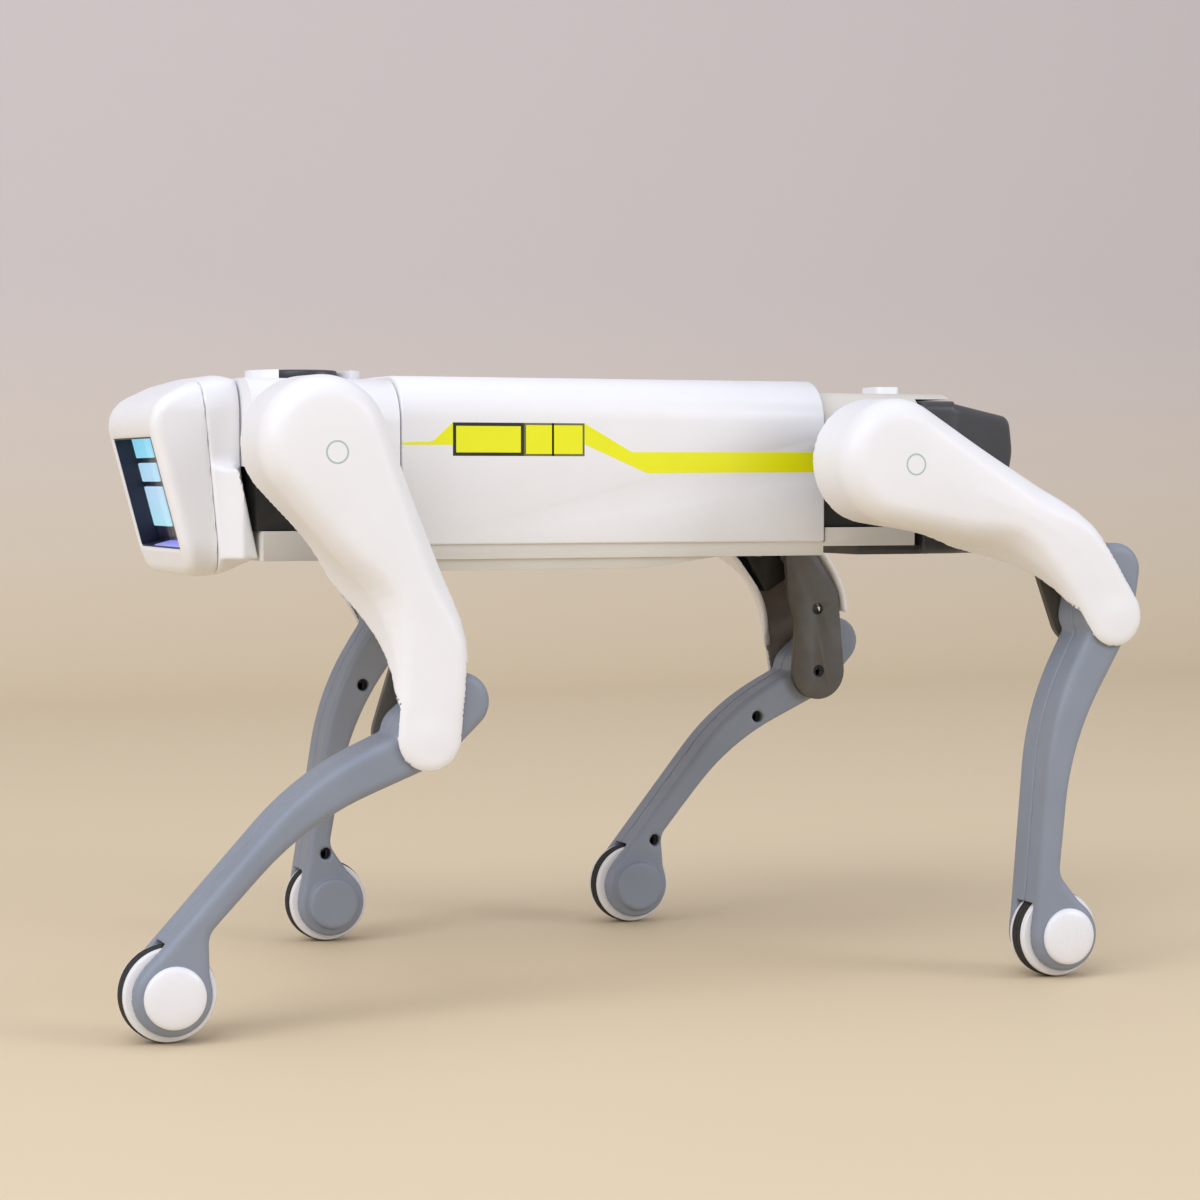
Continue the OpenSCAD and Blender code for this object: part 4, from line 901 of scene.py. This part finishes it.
def collar_shape(x, y, z):
    """The wider collar behind the head that closes off the hip bay, with a slanted rear edge."""
    half = np.interp(x, (COLLAR_START, COLLAR_START + COLLAR_RUN), (HEAD_HALF_W - 1, COLLAR_HALF_W))
    slope = (COLLAR_HALF_W - HEAD_HALF_W + 1) / COLLAR_RUN
    sides = (np.abs(y) - half) / math.hypot(1, slope)
    ends = between(z, TRAY + 0.5, SHOULDER_FOOT - SEAM)
    rear = (x - (TRAY_FRONT - 0.3) + (z - TRAY) * 7.2 / (SHOULDER_FOOT + 5 - TRAY)) / 1.02
    front = COLLAR_START - x
    return meet(meet(sides, np.maximum(rear, front), 0.8), ends, 0.8)


def head_shell_shape(p):
    """The head's rear part and the collar, trimmed to what stands behind them."""
    x, y, z = p.T
    d = join(head_solid(x, y, z), collar_shape(x, y, z), 5)
    d = np.maximum(d, x - TRAY_FRONT + 0.1)
    d = np.maximum(d, np.where(z > SHOULDER_FOOT - SEAM, x - SHOULDER_FRONT + 0.2, -1e3))
    d = meet(d, ahead_of_seam(x, z) + HAIR, 0.5)
    return cut(d, head_solid(x, y, z) + HEAD_WALL, 0.3)


HEAD_LOW = (FRONT_HIP[0] - 46, -44, HEAD_FOOT - 3)
HEAD_HIGH = (FRONT_HIP[0] - 3, 44, HEAD_TOP + 3)
for name, shape, replaced in (("face_bezel", bezel_shape, "head_bezel"),
                              ("head_casing", head_shell_shape, "head_shell")):
    points, faces = skin(shape, HEAD_LOW, HEAD_HIGH, CELL)
    piece(name, mesh_of(points * MM, faces, name), white_abs, "torso", (replaced,),
          smooth=50)


FACE_EASE = 0.15  # rounding of the face's small parts, mm


def on_face(boxes, name, material, replaces=()):
    """Boxes in the face's frame, each two corners of (up, y, out) in mm, as one mesh."""
    bm = bmesh.new()
    c, s = math.cos(FACE_LEAN), math.sin(FACE_LEAN)
    turn = Matrix(((-s, 0, -c, FACE_MID[0] * MM), (0, 1, 0, 0), (c, 0, -s, FACE_MID[1] * MM),
                   (0, 0, 0, 1)))
    for low, high in boxes:
        low, high = np.array(low) * MM, np.array(high) * MM
        place = Matrix.Translation((low + high) / 2) @ Matrix.Diagonal((*(high - low), 1))
        made = bmesh.ops.create_cube(bm, matrix=turn @ place)["verts"]
        edges = {e for v in made for e in v.link_edges}
        bmesh.ops.bevel(bm, geom=list(edges), offset=FACE_EASE * MM, segments=2, affect="EDGES",
                        clamp_overlap=True)
    bmesh.ops.recalc_face_normals(bm, faces=bm.faces)
    mesh = bpy.data.meshes.new(name)
    bm.to_mesh(mesh)
    bm.free()
    return piece(name, mesh, material, "torso", replaces, smooth=40)


SEAT = 1.4  # how far the panel reaches past the window
on_face([((-HALF_H - SEAT, -HALF_W - SEAT, -WINDOW_D - 2),
          (HALF_H + SEAT, HALF_W + SEAT, -WINDOW_D))], "face_panel", navy_abs,
        ("face_display",))
LINER, LINER_OUT = 0.45, -0.6  # the recess liner's wall and how far out it ends
on_face([((-HALF_H, -HALF_W, -WINDOW_D), (-HALF_H + LINER, HALF_W, LINER_OUT)),
         ((HALF_H - LINER, -HALF_W, -WINDOW_D), (HALF_H, HALF_W, LINER_OUT)),
         ((-HALF_H + LINER, -HALF_W, -WINDOW_D), (HALF_H - LINER, -HALF_W + LINER, LINER_OUT)),
         ((-HALF_H + LINER, HALF_W - LINER, -WINDOW_D), (HALF_H - LINER, HALF_W, LINER_OUT))],
        "face_recess_liner", navy_abs)
# each bar's start and end below the window's top edge, and its colours at the top and the foot
BARS = [(0.6, 8.0, "#8FDCF8", "#9DE6FC"), (9.8, 16.0, "#B4E0FA", "#BCE4FB"),
        (17.8, 31.1, "#BFE0FB", "#B2EDFB")]
EYES = [(3.5, 26.5), (-26.5, -3.5)]
BAR_T = 0.8
for i, (start, end, top_colour, foot_colour) in enumerate(BARS):
    glow = lit(f"eye_bar_light_{i}", top_colour, foot_colour, face_at(HALF_H - end)[1] * MM,
               face_at(HALF_H - start)[1] * MM, 1.0)
    on_face([((HALF_H - end, y0, -WINDOW_D), (HALF_H - start, y1, -WINDOW_D + BAR_T))
             for y0, y1 in EYES], f"eye_bars_{i}", glow)
# a violet glow lies along the foot of the recess
spill = lit("violet_spill_light", "#8F90EC", "#A6A2F2", face_at(-HALF_H)[1] * MM,
            face_at(-HALF_H + 2)[1] * MM, 0.9)
on_face([((-HALF_H + LINER, -HALF_W + 1, -WINDOW_D + 0.2),
          (-HALF_H + LINER + 0.25, HALF_W - 16, -1.0))], "recess_foot_glow", spill)

# ---------------------------------------------------------------- tail

RUMP_END = REAR_HIP[0] + 33.3
TONGUE_END = RUMP_END + 13.4
TAIL_END = REAR_HIP[0] + 79.4
RUMP_DECK = DECK - 3.8
LIP_TOP = CREASE - 1.6  # top of the tongue that reaches forward under the rear bay
TAIL_HALF_W = 28  # half width at the narrow end
TAIL_SIDE = rounded([
    (RUMP_END - 8, TRAY, 0), (TAIL_END - 13, TRAY, 4), (TAIL_END, REAR_HIP[1] + 3, 8),
    (TAIL_END - 3, RUMP_DECK - 7.6, 5), (TONGUE_END + SEAM, RUMP_DECK - 3.4, 0),
    (TONGUE_END + SEAM, RUMP_DECK - 2.6, 0), (RUMP_END - 8, RUMP_DECK - 2.6, 0)])
TAIL_PLAN = rounded([
    (RUMP_END - 8, -SIDE + 2, 0), (RUMP_END + 14, -SIDE + 2, 12), (TAIL_END + 0.5, -TAIL_HALF_W, 9),
    (TAIL_END + 0.5, TAIL_HALF_W, 9), (RUMP_END + 14, SIDE - 2, 12), (RUMP_END - 8, SIDE - 2, 0)])
POWER_X = REAR_HIP[0] + 39.7
INLET_HALF_W, INLET_HALF_H = 4.6, 1.7
POWER_HOLE_HALF = (8.8, 6.3)


def tail_shape(p):
    """The tail cap, with the charging inlet and room for the power button's switch."""
    x, y, z = p.T
    d = meet(outline(x, z, TAIL_SIDE), outline(x, y, TAIL_PLAN), 3.2)
    d = meet(d, RUMP_END + SEAM - x, 0.5)
    lip = block(y, z - (TRAY + LIP_TOP) / 2, x, SIDE - 4, (LIP_TOP - TRAY) / 2,
                REAR_HIP[0] + 9, RUMP_END + 4)
    d = np.minimum(d, lip)
    inlet = block(y, z - (DECK - 42), x, INLET_HALF_W, INLET_HALF_H, TAIL_END - 15, TAIL_END + 5)
    d = cut(d, inlet, 0.4)
    return cut(d, block(y, x - POWER_X, z, *POWER_HOLE_HALF, RUMP_DECK - 9, RUMP_DECK + 1), 0.3)


TAIL_LOW, TAIL_HIGH = (REAR_HIP[0] + 6, -46, TRAY - 2), (TAIL_END + 3, 46, RUMP_DECK)
points, faces = skin(tail_shape, TAIL_LOW, TAIL_HIGH, CELL)
piece("tail_casing", mesh_of(points * MM, faces, "tail_casing"), charcoal_abs, "torso",
      ("tail_cap",), smooth=50)

# ---------------------------------------------------------------- prints on the shell's sides


INK_SUNK, INK_T = 0.1, 0.14  # how deep the ink starts in the plastic, and its thickness


def printed(name, shapes, ink):
    """Ink on both sides of the shell: outlines of (x, z) in mm, a hair proud of the plastic."""
    bm = bmesh.new()
    for side in (-1, 1):
        faces = [bm.faces.new([bm.verts.new((x * MM, side * (SIDE - INK_SUNK) * MM, z * MM))
                               for x, z in shape]) for shape in shapes]
        bmesh.ops.remove_doubles(bm, verts=bm.verts, dist=0.01 * MM)
        grown = bmesh.ops.extrude_face_region(bm, geom=[f for f in faces if f.is_valid])
        for v in (g for g in grown["geom"] if isinstance(g, bmesh.types.BMVert)):
            v.co.y += side * INK_T * MM
    bmesh.ops.recalc_face_normals(bm, faces=bm.faces)
    mesh = bpy.data.meshes.new(name)
    bm.to_mesh(mesh)
    bm.free()
    return piece(name, mesh, ink, "torso", smooth=30)


def window_frame(x0, x1, z0, z1, t):
    """Four mitred bars around a rectangle, t wide, inside its edges."""
    outer = [(x0, z0), (x1, z0), (x1, z1), (x0, z1)]
    inner = [(x0 + t, z0 + t), (x1 - t, z0 + t), (x1 - t, z1 - t), (x0 + t, z1 - t)]
    return [(outer[i - 1], outer[i], inner[i], inner[i - 1]) for i in range(4)]


LINE_X, LINE_TOP, LINE_FOOT = SHELL_LOW[0] + 0.2, DECK - 15.1, DECK - 25.8
BOX_X = [SHELL_LOW[0] + x for x in (17.1, 41.4, 51.1, 62.5)]
THICK, THIN = 1.1, 0.7
FRAMES = [(BOX_X[0], BOX_X[1], THICK), (BOX_X[1], BOX_X[2] + THIN, THIN),
          (BOX_X[2], BOX_X[3], THIN)]
BAND = [
    [(LINE_X, DECK - 22.3), (BOX_X[0], DECK - 22.3), (BOX_X[0], LINE_TOP),
     (LINE_X + 10, DECK - 21.2), (LINE_X, DECK - 21.5)],
    [(BOX_X[3], DECK - 21.9), (SHELL_LOW[0] + 84.7, DECK - 31.3),
     (SHELL_HIGH[0] - 0.5, DECK - 30.9), (SHELL_HIGH[0] - 0.5, DECK - 24.2),
     (SHELL_LOW[0] + 79.3, DECK - 24.4), (BOX_X[3], LINE_TOP)]]
BAND += [[(a + t, LINE_FOOT + t), (b - t, LINE_FOOT + t), (b - t, LINE_TOP - t),
          (a + t, LINE_TOP - t)] for a, b, t in FRAMES]
BARS_AROUND = [window_frame(a, b, LINE_FOOT, LINE_TOP, t) for a, b, t in FRAMES]
printed("side_line_band", BAND, lime_ink)
printed("side_line_first_frame", BARS_AROUND[0], black_ink)
printed("side_line_thin_frames", BARS_AROUND[1] + BARS_AROUND[2], olive_ink)

# ---------------------------------------------------------------- floor, light, camera


FLOOR, WALL = "#E2CFAC", "#D7CFCE"
BEND_Y, BEND_R, WALL_TOP = 1.2, 0.35, 2.6  # where the floor turns up, the bend and the top, m


def sweep():
    """A pale floor that curves up into a backdrop."""
    profile = [(-3.0, 0.0), (BEND_Y, 0.0)]
    profile += [(BEND_Y + BEND_R * math.sin(a), BEND_R * (1 - math.cos(a)))
                for a in np.linspace(0.1, math.pi / 2, 14)]
    profile.append((BEND_Y + BEND_R, WALL_TOP))
    points = [(x, y, z) for x in (-4.0, 4.5) for y, z in profile]
    n = len(profile)
    faces = np.array([(i, i + n, i + n + 1, i + 1) for i in range(n - 1)])
    mesh = mesh_of(np.array(points), faces, "studio_sweep")
    thing = bpy.data.objects.new("studio_sweep", mesh)
    bpy.context.scene.collection.objects.link(thing)
    mesh.shade_smooth()
    material, tree, shader, place = finish("matt_painted_sweep", FLOOR, Roughness=0.6)
    height = add(tree, "ShaderNodeSeparateXYZ", {0: place}).outputs["Z"]
    rise = add(tree, "ShaderNodeMapRange", {"Value": height, "From Min": 0.0, "From Max": BEND_R})
    mix = add(tree, "ShaderNodeMix", {0: rise.outputs[0], 6: linear(FLOOR), 7: linear(WALL)},
              data_type="RGBA")
    tree.links.new(mix.outputs[2], shader.inputs["Base Color"])
    mesh.materials.append(material)


def lamp(name, at, aim, size, power, colour):
    """A round soft lamp at a place in metres, aimed at another; power in watts."""
    data = bpy.data.lights.new(name, "AREA")
    data.shape = "DISK"
    data.size = size
    data.energy = power
    data.color = linear(colour)[:3]
    thing = bpy.data.objects.new(name, data)
    thing.location = at
    thing.rotation_euler = (Vector(aim) - Vector(at)).to_track_quat("-Z", "Y").to_euler()
    bpy.context.scene.collection.objects.link(thing)


sweep()
lamp("key", (-1.1, -1.3, 1.9), (0, 0, 0.1), 1.6, 18, "#F6F8FF")
lamp("overhead", (0.2, 0.1, 1.9), (0, 0, 0.1), 1.8, 3, "#F8F9FF")
lamp("fill", (1.5, -1.5, 0.95), (0, 0, 0.12), 1.1, 13.5, "#ECF1FF")
lamp("head_fill", (-1.6, -0.6, 1.0), (-0.1, 0, 0.15), 0.9, 10.5, "#EAF0FF")

scene = bpy.context.scene
world = bpy.data.worlds.new("soft_studio")
world.use_nodes = True
background = world.node_tree.nodes["Background"].inputs
background["Color"].default_value = linear("#EEF0FA")
background["Strength"].default_value = 0.655
scene.world = world
scene.view_settings.view_transform = "Standard"

CAMERA_AT = (-0.3596, -0.9155, 0.1672)
yaw, pitch = math.radians(22.2), math.radians(2.42)
level = math.cos(pitch)
ahead = Vector((math.sin(yaw) * level, math.cos(yaw) * level, -math.sin(pitch)))
right = Vector((math.cos(yaw), -math.sin(yaw), 0))
up = right.cross(ahead)
camera = bpy.data.objects.new("camera", bpy.data.cameras.new("camera"))
camera.data.sensor_width = 36
camera.data.lens = 86.18
facing = Matrix((right, up, -ahead)).transposed().to_4x4()
camera.matrix_world = Matrix.Translation(CAMERA_AT) @ facing
scene.collection.objects.link(camera)
scene.camera = camera
